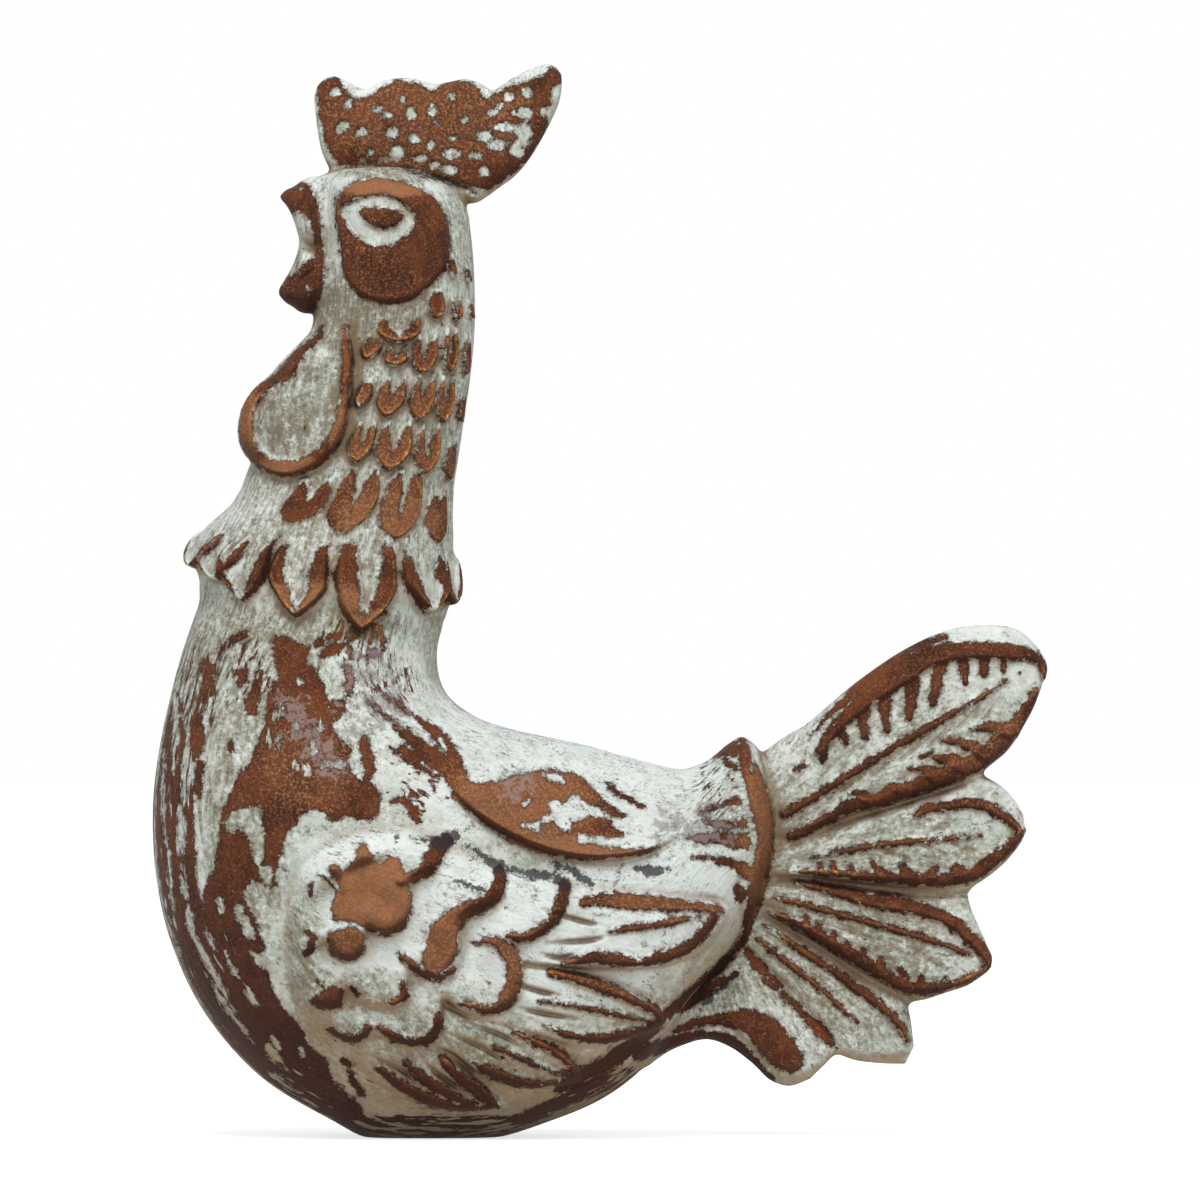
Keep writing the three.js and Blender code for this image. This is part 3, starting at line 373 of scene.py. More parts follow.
LOWER_COVERTS = [
    (318, 1040), (296, 1000), (290, 950), (300, 880), (400, 830), (520, 860), (565, 872), (567, 895),
    (556, 920), (534, 938), (508, 940), (521, 960), (523, 982), (512, 1002), (490, 1012), (462, 1008),
    (446, 998), (443, 1020), (428, 1038), (402, 1042), (380, 1032), (370, 1037), (347, 1042), (327, 1034),
]
UPPER_COVERTS = [
    (300, 1000), (290, 960), (292, 900), (340, 840), (430, 825), (500, 850), (506, 872), (497, 897),
    (464, 917), (464, 945), (457, 969), (438, 977), (416, 969), (408, 984), (406, 1000), (385, 1009),
    (364, 1001), (351, 986), (345, 1003), (325, 1008),
]
SHOULDER = [
    (300, 955), (291, 925), (290, 890), (305, 860), (340, 836), (385, 822), (430, 822), (460, 830),
    (452, 852), (432, 868), (413, 878), (417, 900), (411, 919), (396, 931), (378, 932), (371, 928),
    (370, 946), (355, 959), (338, 955), (329, 940), (322, 946), (312, 953),
]
WING_RIMS = [
    [(583, 900, 3), (602, 897, 6), (630, 899, 8), (660, 901, 7), (690, 904, 5), (712, 907, 4),
     (722, 910, 2)],
    [(714, 914, 4), (703, 929, 6), (691, 942, 6), (675, 951, 6), (655, 956, 6), (640, 959, 4),
     (620, 957, 6), (598, 955, 6), (580, 957, 4), (563, 961, 1)],
    [(552, 968, 4), (572, 974, 5), (592, 980, 6), (612, 987, 6), (630, 995, 5), (643, 1001, 5),
     (655, 1008, 4), (662, 1018, 3)],
    [(655, 1024, 2), (640, 1028, 4), (620, 1033, 5), (600, 1036, 5), (580, 1034, 4), (560, 1028, 3),
     (545, 1022, 1)], [(515, 1028, 2), (535, 1037, 4), (555, 1046, 5), (569, 1058, 4), (577, 1070, 3)],
    [(565, 1078, 1), (545, 1080, 3), (520, 1079, 5), (500, 1072, 6), (485, 1065, 5), (473, 1058, 2)],
    [(445, 1054, 3), (455, 1068, 6), (470, 1080, 7), (485, 1092, 6), (498, 1103, 3)],
    [(407, 1058, 3), (420, 1070, 5), (440, 1084, 6), (460, 1095, 4), (478, 1101, 2)],
    [(380, 1065, 3), (395, 1076, 5), (415, 1089, 6), (440, 1100, 6), (465, 1105, 4), (492, 1104, 2)],
    [(440, 1010, 4), (440, 1021, 5), (434, 1031, 5), (424, 1037, 5), (410, 1037, 4), (398, 1033, 5),
     (387, 1027, 4), (379, 1022, 1)],
    [(330, 1025, 1), (340, 1031, 4), (352, 1035, 4), (363, 1032, 5), (370, 1023, 4)],
    [(476, 939, 1), (490, 937, 4), (503, 941, 7), (512, 953, 8), (516, 969, 8), (513, 986, 8),
     (506, 999, 7), (494, 1006, 5), (480, 1004, 4), (462, 999, 2)],
    [(565, 880, 5), (563, 895, 6), (557, 911, 6), (547, 923, 5), (535, 931, 5), (520, 934, 4),
     (509, 932, 3)],
    [(500, 866, 5), (501, 878, 7), (496, 891, 8), (480, 903, 8), (462, 910, 10), (447, 926, 13),
     (443, 945, 16), (437, 957, 13)],
    [(402, 950, 2), (412, 959, 4), (425, 969, 4), (440, 973, 4), (454, 966, 3)],
    [(404, 876, 5), (420, 872, 6), (432, 862, 8), (438, 850, 9), (447, 838, 7)],
    [(404, 978, 2), (407, 990, 4), (398, 998, 3), (391, 999, 1)],
]
WING_QUILLS = [
    [(610, 929, 2), (640, 925, 3), (670, 920, 3), (700, 914, 1)],
    [(540, 997, 1), (570, 1002, 2), (600, 1008, 3), (640, 1017, 2), (655, 1019, 1)],
    [(495, 1043, 2), (520, 1054, 3), (545, 1065, 2), (572, 1074, 2)],
]
WING_BARBS = [
    [(540, 905, 0), (580, 918, 2), (600, 922, 0)], [(545, 940, 0), (585, 938, 2), (606, 934, 0)],
    [(540, 950, 0), (560, 955, 2), (575, 951, 0)], [(520, 1005, 0), (545, 1010, 2), (580, 1016, 0)],
    [(515, 980, 0), (540, 988, 2), (560, 992, 0)], [(470, 1020, 0), (500, 1030, 2), (520, 1042, 0)],
    [(450, 1030, 0), (480, 1042, 2), (510, 1060, 0)], [(440, 1043, 0), (458, 1053, 2), (474, 1069, 0)],
    [(372, 1052, 0), (400, 1064, 2), (432, 1086, 0)], [(425, 1058, 0), (445, 1074, 2), (470, 1090, 0)],
]
WING_FRONT = [
    (372, 1085, 0), (330, 1052, 0), (294, 1008, 0), (282, 955, 0), (286, 900, 0), (296, 858, 0),
    (338, 828, 0), (400, 818, 0), (456, 840, 0), (522, 863, 0), (600, 878, 0), (690, 886, 0),
]
WING_DISC = [
    [(321, 871), (330, 877), (338, 888), (335, 904), (340, 919), (352, 917), (362, 922), (374, 928),
     (388, 932), (402, 927), (411, 915), (414, 897), (410, 880), (405, 867), (400, 855), (391, 852),
     (384, 861), (374, 852), (369, 842), (362, 841), (359, 852), (352, 862), (346, 868), (340, 862),
     (332, 863), (336, 874), (328, 873)],
    [(330, 932), (340, 927), (352, 922), (364, 926), (369, 936), (366, 949), (356, 957), (344, 956),
     (334, 948)],
    [(312, 996), (322, 989), (330, 984), (340, 981), (346, 985), (346, 998), (340, 1004), (326, 1005),
     (317, 1002)],
]
WING_MARKS = [
    [(315, 882, 3), (313, 891, 3)], [(317, 934, 3), (315, 943, 4), (308, 951, 2)],
    [(311, 928, 2), (314, 931, 2)], [(320, 978, 2), (325, 983, 2)], [(354, 984, 2), (360, 990, 2)],
]
WING_WASH = [
    [(345, 889, 0), (337, 880, 3), (328, 868, 2)], [(480, 875, 4), (488, 884, 3)],
    [(499, 957, 2), (502, 964, 2)], [(634, 954, 3), (638, 957, 3)], [(548, 915, 3), (540, 903, 3)],
    [(697, 924, 4), (688, 932, 6)],
]

RUMP = [
    [(742, 741, 4), (745, 758, 7), (753, 780, 9), (761, 805, 10), (765, 830, 9), (764, 855, 9),
     (758, 880, 9), (752, 905, 8), (748, 925, 5), (745, 937, 2)],
]
RUMP_BROWN = [
    [(748, 872, 8), (735, 864, 5), (715, 858, 3), (690, 855, 1)],
    [(742, 842, 9), (722, 836, 7), (700, 838, 5), (688, 838, 2)],
    [(742, 822, 5), (722, 824, 4), (703, 820, 1)], [(738, 800, 3), (715, 806, 3), (698, 813, 1)],
    [(735, 748, 7), (723, 750, 6), (714, 757, 2)], [(724, 760, 3), (735, 768, 3)],
    [(740, 895, 6), (738, 885, 4)],
]
RUMP_WASH = [
    [(737, 778, 5), (743, 784, 3)], [(752, 760, 2), (750, 770, 2)], [(745, 855, 5), (740, 852, 4)],
]
RUMP_LINE = [
    [(744, 938, 4), (728, 957, 4), (708, 976, 5), (688, 994, 5), (667, 1012, 6), (650, 1028, 7),
     (628, 1046, 9), (600, 1064, 8), (560, 1085, 6)],
    [(735, 974, 3), (716, 984, 4), (698, 996, 5), (680, 1008, 4)],
]

# The web between the tail feathers
TAIL_WEB = [
    (705, 810), (728, 782), (756, 762), (785, 745), (812, 727), (850, 697), (900, 662), (945, 643),
    (1018, 643), (1036, 664), (1026, 700), (1006, 740), (989, 762), (984, 778), (1004, 802), (1012, 828),
    (1000, 856), (968, 893), (975, 925), (984, 962), (950, 988), (922, 996), (905, 1012), (906, 1052),
    (870, 1056), (840, 1052), (818, 1066), (796, 1072), (770, 1058), (748, 1040), (715, 1028),
    (680, 1034), (650, 1046), (640, 1000), (660, 900),
]

TAIL_RIMS = [
    [(818, 752, 4), (830, 733, 6), (848, 714, 7), (868, 696, 9), (888, 681, 11), (908, 667, 12),
     (930, 655, 10), (955, 651, 9), (985, 650, 8), (1010, 652, 8), (1030, 655, 6), (1042, 664, 5),
     (1044, 678, 2)],
    [(790, 836, 4), (810, 828, 5), (830, 817, 5), (848, 806, 7), (870, 802, 6), (890, 796, 7),
     (910, 789, 8), (935, 779, 9), (955, 772, 9), (975, 762, 10), (991, 750, 10), (1006, 736, 9),
     (1020, 721, 7), (1029, 705, 6), (1036, 690, 3)],
    [(916, 816, 2), (928, 808, 5), (946, 806, 4), (965, 803, 5), (985, 806, 5), (1000, 814, 5),
     (1014, 824, 4), (1022, 830, 2)],
    [(790, 871, 1), (820, 872, 3), (850, 875, 4), (880, 877, 5), (905, 879, 6), (930, 880, 6),
     (955, 878, 6), (975, 873, 7), (990, 862, 7), (1005, 850, 6), (1017, 838, 5), (1024, 830, 2)],
    [(793, 881, 1), (810, 884, 4), (830, 889, 4), (850, 894, 6), (868, 899, 7), (890, 902, 8),
     (910, 906, 7), (930, 912, 6), (950, 920, 6), (965, 932, 6), (978, 945, 6), (987, 958, 5),
     (990, 966, 3)],
    [(770, 912, 1), (790, 920, 4), (810, 931, 5), (830, 943, 6), (850, 954, 7), (870, 966, 7),
     (890, 978, 6), (906, 987, 6), (925, 989, 6), (945, 986, 5), (965, 980, 4), (985, 969, 3)],
    [(765, 925, 1), (785, 938, 3), (805, 952, 4), (830, 968, 4), (850, 982, 5), (865, 993, 5),
     (880, 1005, 4), (892, 1016, 4), (902, 1028, 4), (907, 1038, 3)],
]
TAIL_QUILLS = [
    [(785, 813, 5), (810, 799, 4), (840, 780, 4), (870, 761, 4), (900, 743, 4), (930, 726, 4),
     (960, 709, 3), (985, 694, 2), (1006, 680, 1)],
    [(812, 856, 1), (840, 851, 3), (870, 846, 3), (900, 842, 3), (940, 839, 2), (982, 835, 1)],
    [(775, 898, 2), (800, 903, 3), (825, 910, 3), (850, 917, 3), (880, 925, 3), (910, 934, 3),
     (940, 943, 3), (968, 954, 2)],
    [(757, 938, 2), (775, 952, 3), (795, 968, 3), (815, 984, 3), (835, 1002, 3), (857, 1021, 1)],
]
TAIL_TEETH = [
    [(838, 722, 6), (845, 741, 4)], [(824, 742, 5), (822, 758, 3)], [(862, 703, 7), (864, 736, 4)],
    [(883, 692, 7), (886, 729, 4)], [(912, 680, 8), (908, 717, 4)], [(940, 662, 8), (932, 703, 4)],
    [(962, 655, 7), (964, 681, 3)], [(984, 653, 7), (983, 675, 3)], [(1003, 655, 4), (1003, 670, 2)],
    [(872, 801, 6), (858, 793, 4), (848, 793, 1)], [(905, 791, 7), (893, 786, 4), (884, 790, 1)],
    [(938, 777, 8), (923, 769, 5), (909, 769, 1)], [(965, 765, 9), (948, 759, 6), (932, 758, 1)],
    [(986, 752, 8), (966, 744, 5), (954, 741, 3), (942, 741, 1)],
    [(1012, 732, 7), (992, 727, 5), (970, 729, 1)], [(920, 757, 1), (930, 753, 2)],
    [(822, 871, 3), (818, 862, 2)], [(835, 872, 4), (832, 862, 2)], [(853, 874, 4), (851, 865, 2)],
    [(882, 874, 6), (872, 863, 2)], [(906, 874, 7), (904, 865, 4)], [(932, 874, 6), (936, 867, 3)],
    [(960, 872, 7), (955, 867, 4)], [(826, 890, 4), (832, 896, 2)], [(852, 895, 4), (857, 902, 3)],
    [(878, 903, 4), (884, 910, 2)], [(900, 906, 4), (905, 913, 2)], [(952, 922, 4), (950, 932, 2)],
    [(968, 938, 4), (962, 946, 2)], [(806, 925, 4), (805, 916, 2)], [(818, 932, 5), (819, 925, 3)],
    [(834, 942, 5), (832, 932, 2)], [(849, 952, 6), (846, 941, 4)], [(866, 962, 6), (863, 949, 3)],
    [(884, 974, 6), (880, 961, 4)], [(905, 984, 6), (901, 970, 4)], [(921, 986, 5), (921, 973, 2)],
    [(940, 986, 4), (943, 976, 2)],
]
TAIL_MARKS = [
    [(826, 716, 2), (850, 697, 5), (870, 680, 8), (900, 655, 6), (925, 643, 4), (945, 637, 2)],
    [(810, 735, 1), (835, 710, 2)], [(795, 770, 2), (803, 766, 3)],
    [(747, 950, 3), (756, 963, 5), (768, 973, 4), (781, 986, 2)],
    [(817, 1022, 3), (827, 1033, 4), (832, 1038, 1)],
    [(765, 978, 2), (785, 996, 3), (805, 1015, 4), (822, 1035, 4), (836, 1048, 2)],
]
TAIL_GROOVES = [
    [(775, 838, 2), (830, 824, 3), (900, 802, 4), (960, 784, 4)],
    [(780, 878, 2), (850, 884, 3), (920, 894, 4), (962, 894, 3)],
    [(765, 915, 2), (820, 946, 3), (870, 980, 4), (912, 1002, 4)],
    [(752, 952, 2), (790, 990, 3), (815, 1020, 4), (835, 1045, 3)],
]
TAIL_BARBS = [
    [(930, 735, 1), (900, 760, 2)], [(955, 722, 1), (930, 745, 2)], [(980, 708, 1), (955, 730, 2)],
    [(1000, 698, 1), (985, 718, 2)], [(900, 752, 1), (870, 775, 2)], [(868, 770, 1), (840, 790, 2)],
    [(880, 848, 1), (905, 858, 2)], [(920, 843, 1), (945, 855, 2)], [(950, 841, 1), (975, 852, 2)],
    [(840, 930, 1), (870, 938, 2)], [(880, 940, 1), (905, 955, 2)], [(915, 950, 1), (935, 965, 2)],
]
SICKLE_BROWN = [
    [(675, 1031, 3), (700, 1021, 4), (725, 1019, 7), (750, 1021, 12), (766, 1033, 16), (779, 1048, 17),
     (790, 1060, 13)],
    [(640, 1052, 8), (670, 1042, 7), (704, 1034, 5), (732, 1042, 6), (752, 1062, 6), (770, 1080, 4)],
]
SICKLE_LINES = [
    [(690, 1030, 1), (712, 1026, 2), (735, 1032, 2), (755, 1052, 2), (768, 1068, 1)],
]

BREAST_BROWN = [
    [(275, 640), (283, 635), (300, 641), (312, 648), (308, 660), (318, 667), (325, 684), (330, 698),
     (345, 700), (346, 712), (335, 726), (345, 740), (353, 746), (352, 765), (364, 778), (378, 784),
     (384, 796), (380, 814), (366, 818), (350, 815), (336, 819), (322, 808), (304, 812), (300, 822),
     (291, 830), (286, 845), (280, 862), (277, 886), (266, 880), (262, 868), (268, 850), (266, 820),
     (262, 803), (250, 806), (232, 813), (229, 830), (240, 824), (252, 838), (259, 862), (275, 864),
     (272, 884), (256, 878), (248, 893), (258, 916), (263, 932), (268, 944), (262, 951), (252, 948),
     (262, 958), (272, 972), (276, 990), (290, 1010), (301, 1022), (312, 1042), (328, 1058), (333, 1075),
     (345, 1088), (358, 1096), (366, 1112), (378, 1120), (370, 1130), (345, 1122), (318, 1106),
     (306, 1085), (290, 1075), (268, 1062), (250, 1035), (240, 1008), (228, 990), (215, 965), (205, 940),
     (192, 925), (196, 915), (206, 905), (207, 885), (216, 868), (222, 838), (226, 810), (233, 792),
     (243, 772), (252, 762), (260, 744), (266, 725), (270, 700), (273, 684), (280, 676), (277, 658)],
]
BREAST_EDGE = [
    [(172, 690), (184, 705), (188, 760), (194, 820), (200, 880), (215, 930), (240, 990), (275, 1050),
     (320, 1100), (280, 1095), (230, 1045), (190, 985), (165, 910), (155, 840), (156, 770), (163, 720)],
]
BREAST_STREAKS = [
    [(318, 645, 3), (332, 636, 2)], [(325, 655, 4), (345, 645, 5), (352, 655, 4)],
    [(370, 622, 4), (360, 632, 4), (352, 640, 2)], [(352, 630, 2), (370, 618, 5), (385, 612, 2)],
    [(378, 625, 3), (384, 645, 4), (375, 653, 5), (366, 648, 2)],
    [(222, 657, 2), (226, 647, 3), (243, 637, 4), (248, 633, 2)],
    [(240, 672, 4), (246, 675, 6), (243, 684, 3)],
    [(250, 700, 3), (254, 712, 4), (258, 688, 5), (262, 672, 3)], [(214, 668, 4), (217, 674, 3)],
    [(233, 744, 3), (235, 750, 3)], [(366, 735, 3), (368, 750, 6), (372, 768, 6), (366, 780, 2)],
    [(205, 690, 3), (202, 705, 4), (199, 725, 7), (200, 745, 7), (197, 757, 2)],
    [(207, 665, 6), (212, 690, 5)], [(186, 735, 3), (183, 748, 4), (178, 760, 2)],
    [(204, 762, 3), (200, 785, 5), (194, 815, 6), (197, 840, 5), (193, 870, 3)],
    [(180, 770, 3), (183, 800, 4), (186, 830, 2)],
    [(165, 760, 4), (163, 800, 5), (164, 850, 5), (167, 890, 6), (175, 930, 5)],
    [(182, 870, 2), (180, 890, 4), (186, 915, 5), (196, 945, 5), (214, 985, 5), (238, 1025, 6),
     (255, 1055, 6)],
    [(170, 830, 2), (172, 860, 4), (176, 900, 4), (190, 950, 4), (215, 1005, 4), (240, 1045, 4)],
    [(355, 1062, 2), (345, 1058, 3)], [(352, 1070, 4), (357, 1080, 4), (364, 1090, 3)],
    [(192, 890, 3), (200, 900, 6), (208, 905, 4)], [(405, 750, 6), (425, 760, 8), (440, 775, 3)],
    [(395, 800, 2), (405, 798, 4), (415, 808, 5), (420, 818, 3)],
    [(348, 668, 4), (352, 680, 5), (350, 695, 3)],
]
BREAST_WASH = [
    [(176, 690, 2), (178, 730, 4), (176, 772, 2)], [(166, 750, 1), (165, 800, 3), (169, 845, 1)],
    [(190, 732, 2), (189, 765, 5), (187, 802, 2)], [(199, 794, 3), (203, 830, 6), (204, 878, 3)],
    [(183, 806, 2), (185, 828, 6), (183, 852, 3)], [(184, 864, 2), (187, 880, 4), (188, 896, 2)],
    [(190, 904, 2), (193, 920, 5), (195, 936, 2)], [(172, 850, 2), (172, 882, 3), (177, 916, 1)],
    [(197, 936, 3), (212, 965, 5), (228, 1000, 6), (240, 1020, 3), (256, 1042, 1)],
    [(182, 962, 1), (199, 1000, 3), (226, 1040, 1)], [(166, 895, 1), (172, 930, 2), (182, 955, 1)],
    [(240, 1060, 1), (262, 1080, 3), (290, 1098, 2)], [(246, 988, 2), (254, 996, 3), (261, 1002, 2)],
    [(208, 925, 2), (214, 940, 3), (220, 950, 1)], [(228, 950, 2), (236, 968, 3), (242, 976, 1)],
    [(300, 680, 2), (303, 683, 3)], [(312, 745, 3), (318, 742, 4)], [(328, 762, 3), (344, 764, 4)],
    [(275, 742, 3), (283, 736, 4)], [(240, 905, 4), (250, 925, 5), (255, 935, 3)],
    [(251, 985, 2), (257, 998, 3)], [(222, 898, 3), (225, 908, 3)],
    [(270, 1045, 4), (278, 1056, 5), (284, 1062, 3)], [(302, 1046, 3), (306, 1053, 3)],
    [(275, 1035, 3), (281, 1045, 3)], [(258, 824, 6), (262, 840, 5), (263, 855, 2)],
    [(240, 815, 6), (235, 826, 4)], [(262, 958, 4), (268, 963, 3)],
    [(270, 1072, 4), (290, 1082, 5), (304, 1090, 3)], [(248, 928, 4), (242, 912, 3)],
]
BELLY_BROWN = [
    [(400, 1136, 8), (430, 1128, 12), (470, 1126, 10), (520, 1118, 7), (560, 1100, 7), (600, 1080, 8)],
]

# Where the wash is thin and grey
HAZE = [
    [(258, 408), (275, 402), (292, 408), (300, 396), (308, 400), (304, 424), (296, 444), (282, 452),
     (264, 444), (256, 428)],
    [(345, 655), (370, 640), (392, 648), (405, 675), (412, 705), (405, 725), (372, 735), (352, 760),
     (340, 730), (335, 690)],
    [(280, 690), (305, 695), (335, 735), (350, 760), (345, 780), (320, 775), (300, 755), (282, 730)],
    [(196, 625), (212, 632), (205, 670), (192, 710), (186, 690)],
    [(650, 815), (700, 800), (738, 800), (742, 840), (700, 850), (660, 850)],
    [(500, 770), (530, 765), (540, 785), (520, 800), (500, 795)],
    [(190, 545), (220, 530), (232, 540), (215, 560), (200, 562)],
]

# How much tan dirt lies on the wash, with painted shade where the bird is shaded, as at the chin, under
# the comb and on the wing's lower front: (u, v, half width, half height, share)
DIRT_AND_SHADE = [
    (345, 318, 44, 44, 1.1), (352, 400, 20, 120, 0.9), (405, 312, 50, 22, 0.8), (305, 410, 60, 70, 0.8),
    (400, 174, 70, 14, 0.7), (420, 420, 70, 160, 0.45), (300, 500, 70, 50, 0.55),
    (310, 628, 120, 26, 0.8), (300, 250, 30, 60, 0.5), (325, 240, 14, 70, 0.5), (335, 540, 150, 50, 0.6),
    (250, 680, 100, 110, 0.6), (255, 820, 60, 170, 0.6), (460, 220, 24, 100, 0.4),
    (780, 950, 90, 60, 0.5), (640, 1010, 60, 30, 0.4), (450, 630, 30, 40, 0.5), (330, 1010, 40, 60, 0.7),
    (430, 1060, 110, 60, 0.75), (560, 1080, 120, 40, 0.8), (440, 1000, 70, 40, 0.5),
    (790, 870, 70, 120, 0.7), (880, 860, 130, 80, 0.6), (860, 970, 110, 100, 0.7),
    (900, 740, 150, 70, 0.4), (760, 1000, 80, 60, 0.4), (700, 985, 70, 40, 0.7), (540, 850, 110, 20, 0.5),
    (690, 820, 40, 40, 0.3), (368, 985, 55, 26, 1.0), (308, 950, 24, 80, 0.8), (440, 985, 40, 20, 0.8),
    (420, 870, 26, 20, 0.8),
]

# Where the wash is clean and thick: (u, v, half width, half height, share)
CLEAN = [
    (440, 920, 150, 90, 0.8), (560, 800, 190, 60, 0.5), (670, 880, 110, 90, 0.8),
    (1000, 650, 60, 40, 0.3), (600, 960, 120, 60, 0.8), (360, 870, 80, 50, 0.8), (330, 230, 50, 40, 0.4),
]

# How pale the bare clay is, from dust and from painted sheen where it faces the light, as on the cheek's
# top and along ridges: (u, v, half width, half height, share)
DUST_AND_SHEEN = [
    (375, 885, 60, 60, 1.1), (440, 930, 45, 60, 0.8), (495, 960, 60, 60, 0.7), (350, 945, 30, 30, 0.7),
    (520, 800, 100, 60, 0.8), (762, 830, 30, 110, 0.8), (430, 120, 140, 60, 0.55),
    (388, 188, 60, 14, 1.2), (660, 905, 90, 22, 0.6), (620, 985, 70, 30, 0.4), (310, 600, 80, 24, 0.95),
    (375, 625, 40, 20, 0.95), (310, 770, 60, 50, 0.5), (340, 440, 12, 60, 0.85), (250, 430, 14, 60, 0.8),
    (380, 290, 60, 30, 0.3), (340, 235, 60, 40, 0.3), (400, 440, 80, 120, 0.6), (450, 180, 30, 40, 0.3),
    (290, 468, 50, 16, 0.9), (580, 846, 110, 18, 1.0), (390, 520, 70, 40, 0.75), (990, 750, 60, 70, 0.5),
]

# How much of the clay shows through by chance: (u, v, half width, half height, share)
BARE_SHARE = [
    (178, 830, 30, 150, 0.36), (215, 1000, 44, 100, 0.36), (290, 1090, 70, 40, 0.45),
    (200, 690, 30, 60, 0.42), (385, 680, 45, 45, 0.36), (360, 640, 50, 30, 0.45),
    (430, 1130, 150, 22, 0.8), (240, 670, 50, 60, 0.33), (300, 740, 45, 70, 0.5),
    (600, 1080, 70, 25, 0.5), (420, 790, 30, 30, 0.35), (715, 790, 30, 45, 0.35),
]


def spline(rows, steps):
    """A smooth line through rows of numbers."""
    p = np.asarray(rows, float)
    q = np.vstack([2 * p[0] - p[1], p, 2 * p[-1] - p[-2]])
    t = np.linspace(0, 1, steps, endpoint=False)[:, None]
    spans = []
    for a, b, c, d in zip(q, q[1:], q[2:], q[3:]):
        bend = (2 * a - 5 * b + 4 * c - d) * t**2 + (3 * b - a - 3 * c + d) * t**3
        spans.append(b + ((c - a) * t + bend) / 2)
    return np.vstack([*spans, p[-1:]])


def to_x(u):
    return (u - ORIGIN_U) * PIXEL


def to_z(v):
    return (ORIGIN_V - v) * PIXEL


def to_u(x):
    return ORIGIN_U + x / PIXEL


def to_v(z):
    return ORIGIN_V - z / PIXEL


def loft(ribs, thickness=PIXEL, roundness=ROUNDNESS, sides=72, steps=6):
    """Corners, quads and end triangles of a closed form through ribs."""
    rows = spline([[*back, *front, width] for back, front, width in ribs], steps)
    turn = np.linspace(0, 2 * math.pi, sides, endpoint=False)
    along = np.sign(np.cos(turn)) * np.abs(np.cos(turn)) ** (2 / roundness)
    across = np.sign(np.sin(turn)) * np.abs(np.sin(turn)) ** (2 / roundness)
    u = (rows[:, 0:1] + rows[:, 2:3]) / 2 + (rows[:, 2:3] - rows[:, 0:1]) / 2 * along
    v = (rows[:, 1:2] + rows[:, 3:4]) / 2 + (rows[:, 3:4] - rows[:, 1:2]) / 2 * along
    y = rows[:, 4:5] * thickness * across
    corners = np.stack([to_x(u), y, to_z(v)], -1).reshape(-1, 3)
    start = np.arange(len(rows) - 1)[:, None] * sides
    here = np.arange(sides)[None]
    there = (here + 1) % sides
    quads = np.stack([start + here, start + there, start + sides + there, start + sides + here], -1)
    end = [[0, k, k + 1] for k in range(1, sides - 1)]
    last = (len(rows) - 1) * sides
    ends = np.array(end + [[last + k for k in corner] for corner in end])
    return corners, quads.reshape(-1, 4), ends


def distance_block(corners, quads, triangles):
    """The form's signed distance in the half volume, as (array, first cell)."""
    grid = openvdb.FloatGrid.createLevelSetFromPolygons(
        corners.astype(np.float32),
        triangles=triangles.astype(np.uint32),
        quads=quads.astype(np.uint32),
        transform=openvdb.createLinearTransform(voxelSize=VOXEL),
        halfWidth=BAND_VOXELS,
    )
    low, high = (np.array(c) for c in grid.evalActiveVoxelBoundingBox())
    low = np.maximum(low, LOW)
    high = np.minimum(high + 1, LOW + SIZE)
    block = np.empty(high - low, np.float32)
    grid.copyToArray(block, ijk=tuple(int(c) for c in low))
    return block, low - LOW


def smooth_min(a, b, fillet):
    """The union of two distances, filleted over that length."""
    if fillet <= 0:
        return np.minimum(a, b)
    mix = np.maximum(fillet - np.abs(a - b), 0) / fillet
    return np.minimum(a, b) - mix**2 * fillet / 4


def smooth_max(a, b, fillet):
    return -smooth_min(-a, -b, fillet)


def between_cells(block, at):
    """The block's values at places counted in cells."""
    at = np.clip(at, 0, np.array(block.shape) - 1.001)
    cell = at.astype(int)
    part = at - cell
    total = np.zeros(len(at))
    for corner in np.ndindex(2, 2, 2):
        share = np.prod(np.where(corner, part, 1 - part), 1)
        total += share * block[tuple((cell + corner).T)]
    return total


def mirrored(points):
    """The same places on the half that the volume holds, in cells."""
    return np.stack([points[:, 0], np.abs(points[:, 1]), points[:, 2]], 1) / VOXEL - LOW


class Clay:
    """The half volume of the bird: distances, and which form each cell is nearest to."""

    def __init__(self):
        self.field = np.full(SIZE, BAND, np.float32)
        self.owner = np.zeros(SIZE, np.uint8)

    def window(self, first, shape):
        return tuple(slice(a, a + n) for a, n in zip(first, shape))

    def box(self, corners):
        """The window between two corners of (pixels along, millimetres across, pixels down)."""
        low, high = ((to_x(u), y, to_z(v)) for u, y, v in corners)
        ends = zip(low, high, LOW)
        return tuple(slice(int(a / VOXEL) - first, int(b / VOXEL) - first) for a, b, first in ends)

    def axes(self, window):
        """Places of a window's cells along x, y and z, in millimetres."""
        return [(np.arange(s.start, s.stop) + LOW[k]) * VOXEL for k, s in enumerate(window)]

    def join(self, block, first, owner, fillet):
        window = self.window(first, block.shape)
        here = self.field[window]
        self.owner[window] = np.where(block < here, OWNERS.index(owner), self.owner[window])
        self.field[window] = smooth_min(here, block, fillet)

    def sample(self, points):
        """The distance at points, between cells."""
        return between_cells(self.field, mirrored(points))

    def owner_at(self, points):
        cell = np.clip(np.rint(mirrored(points)).astype(int), 0, SIZE - 1)
        return self.owner[tuple(cell.T)]


# Drawing. A shape is a signed distance in pixels, positive inside it.
def along_run(u, v, a, b):
    """How far along the run from a to b each pixel is, from 0 to 1, and how far from it."""
    run = b - a
    part = np.clip(((u - a[0]) * run[0] + (v - a[1]) * run[1]) / max(run @ run, 1e-9), 0, 1)
    return part, np.hypot(u - a[0] - part * run[0], v - a[1] - part * run[1])


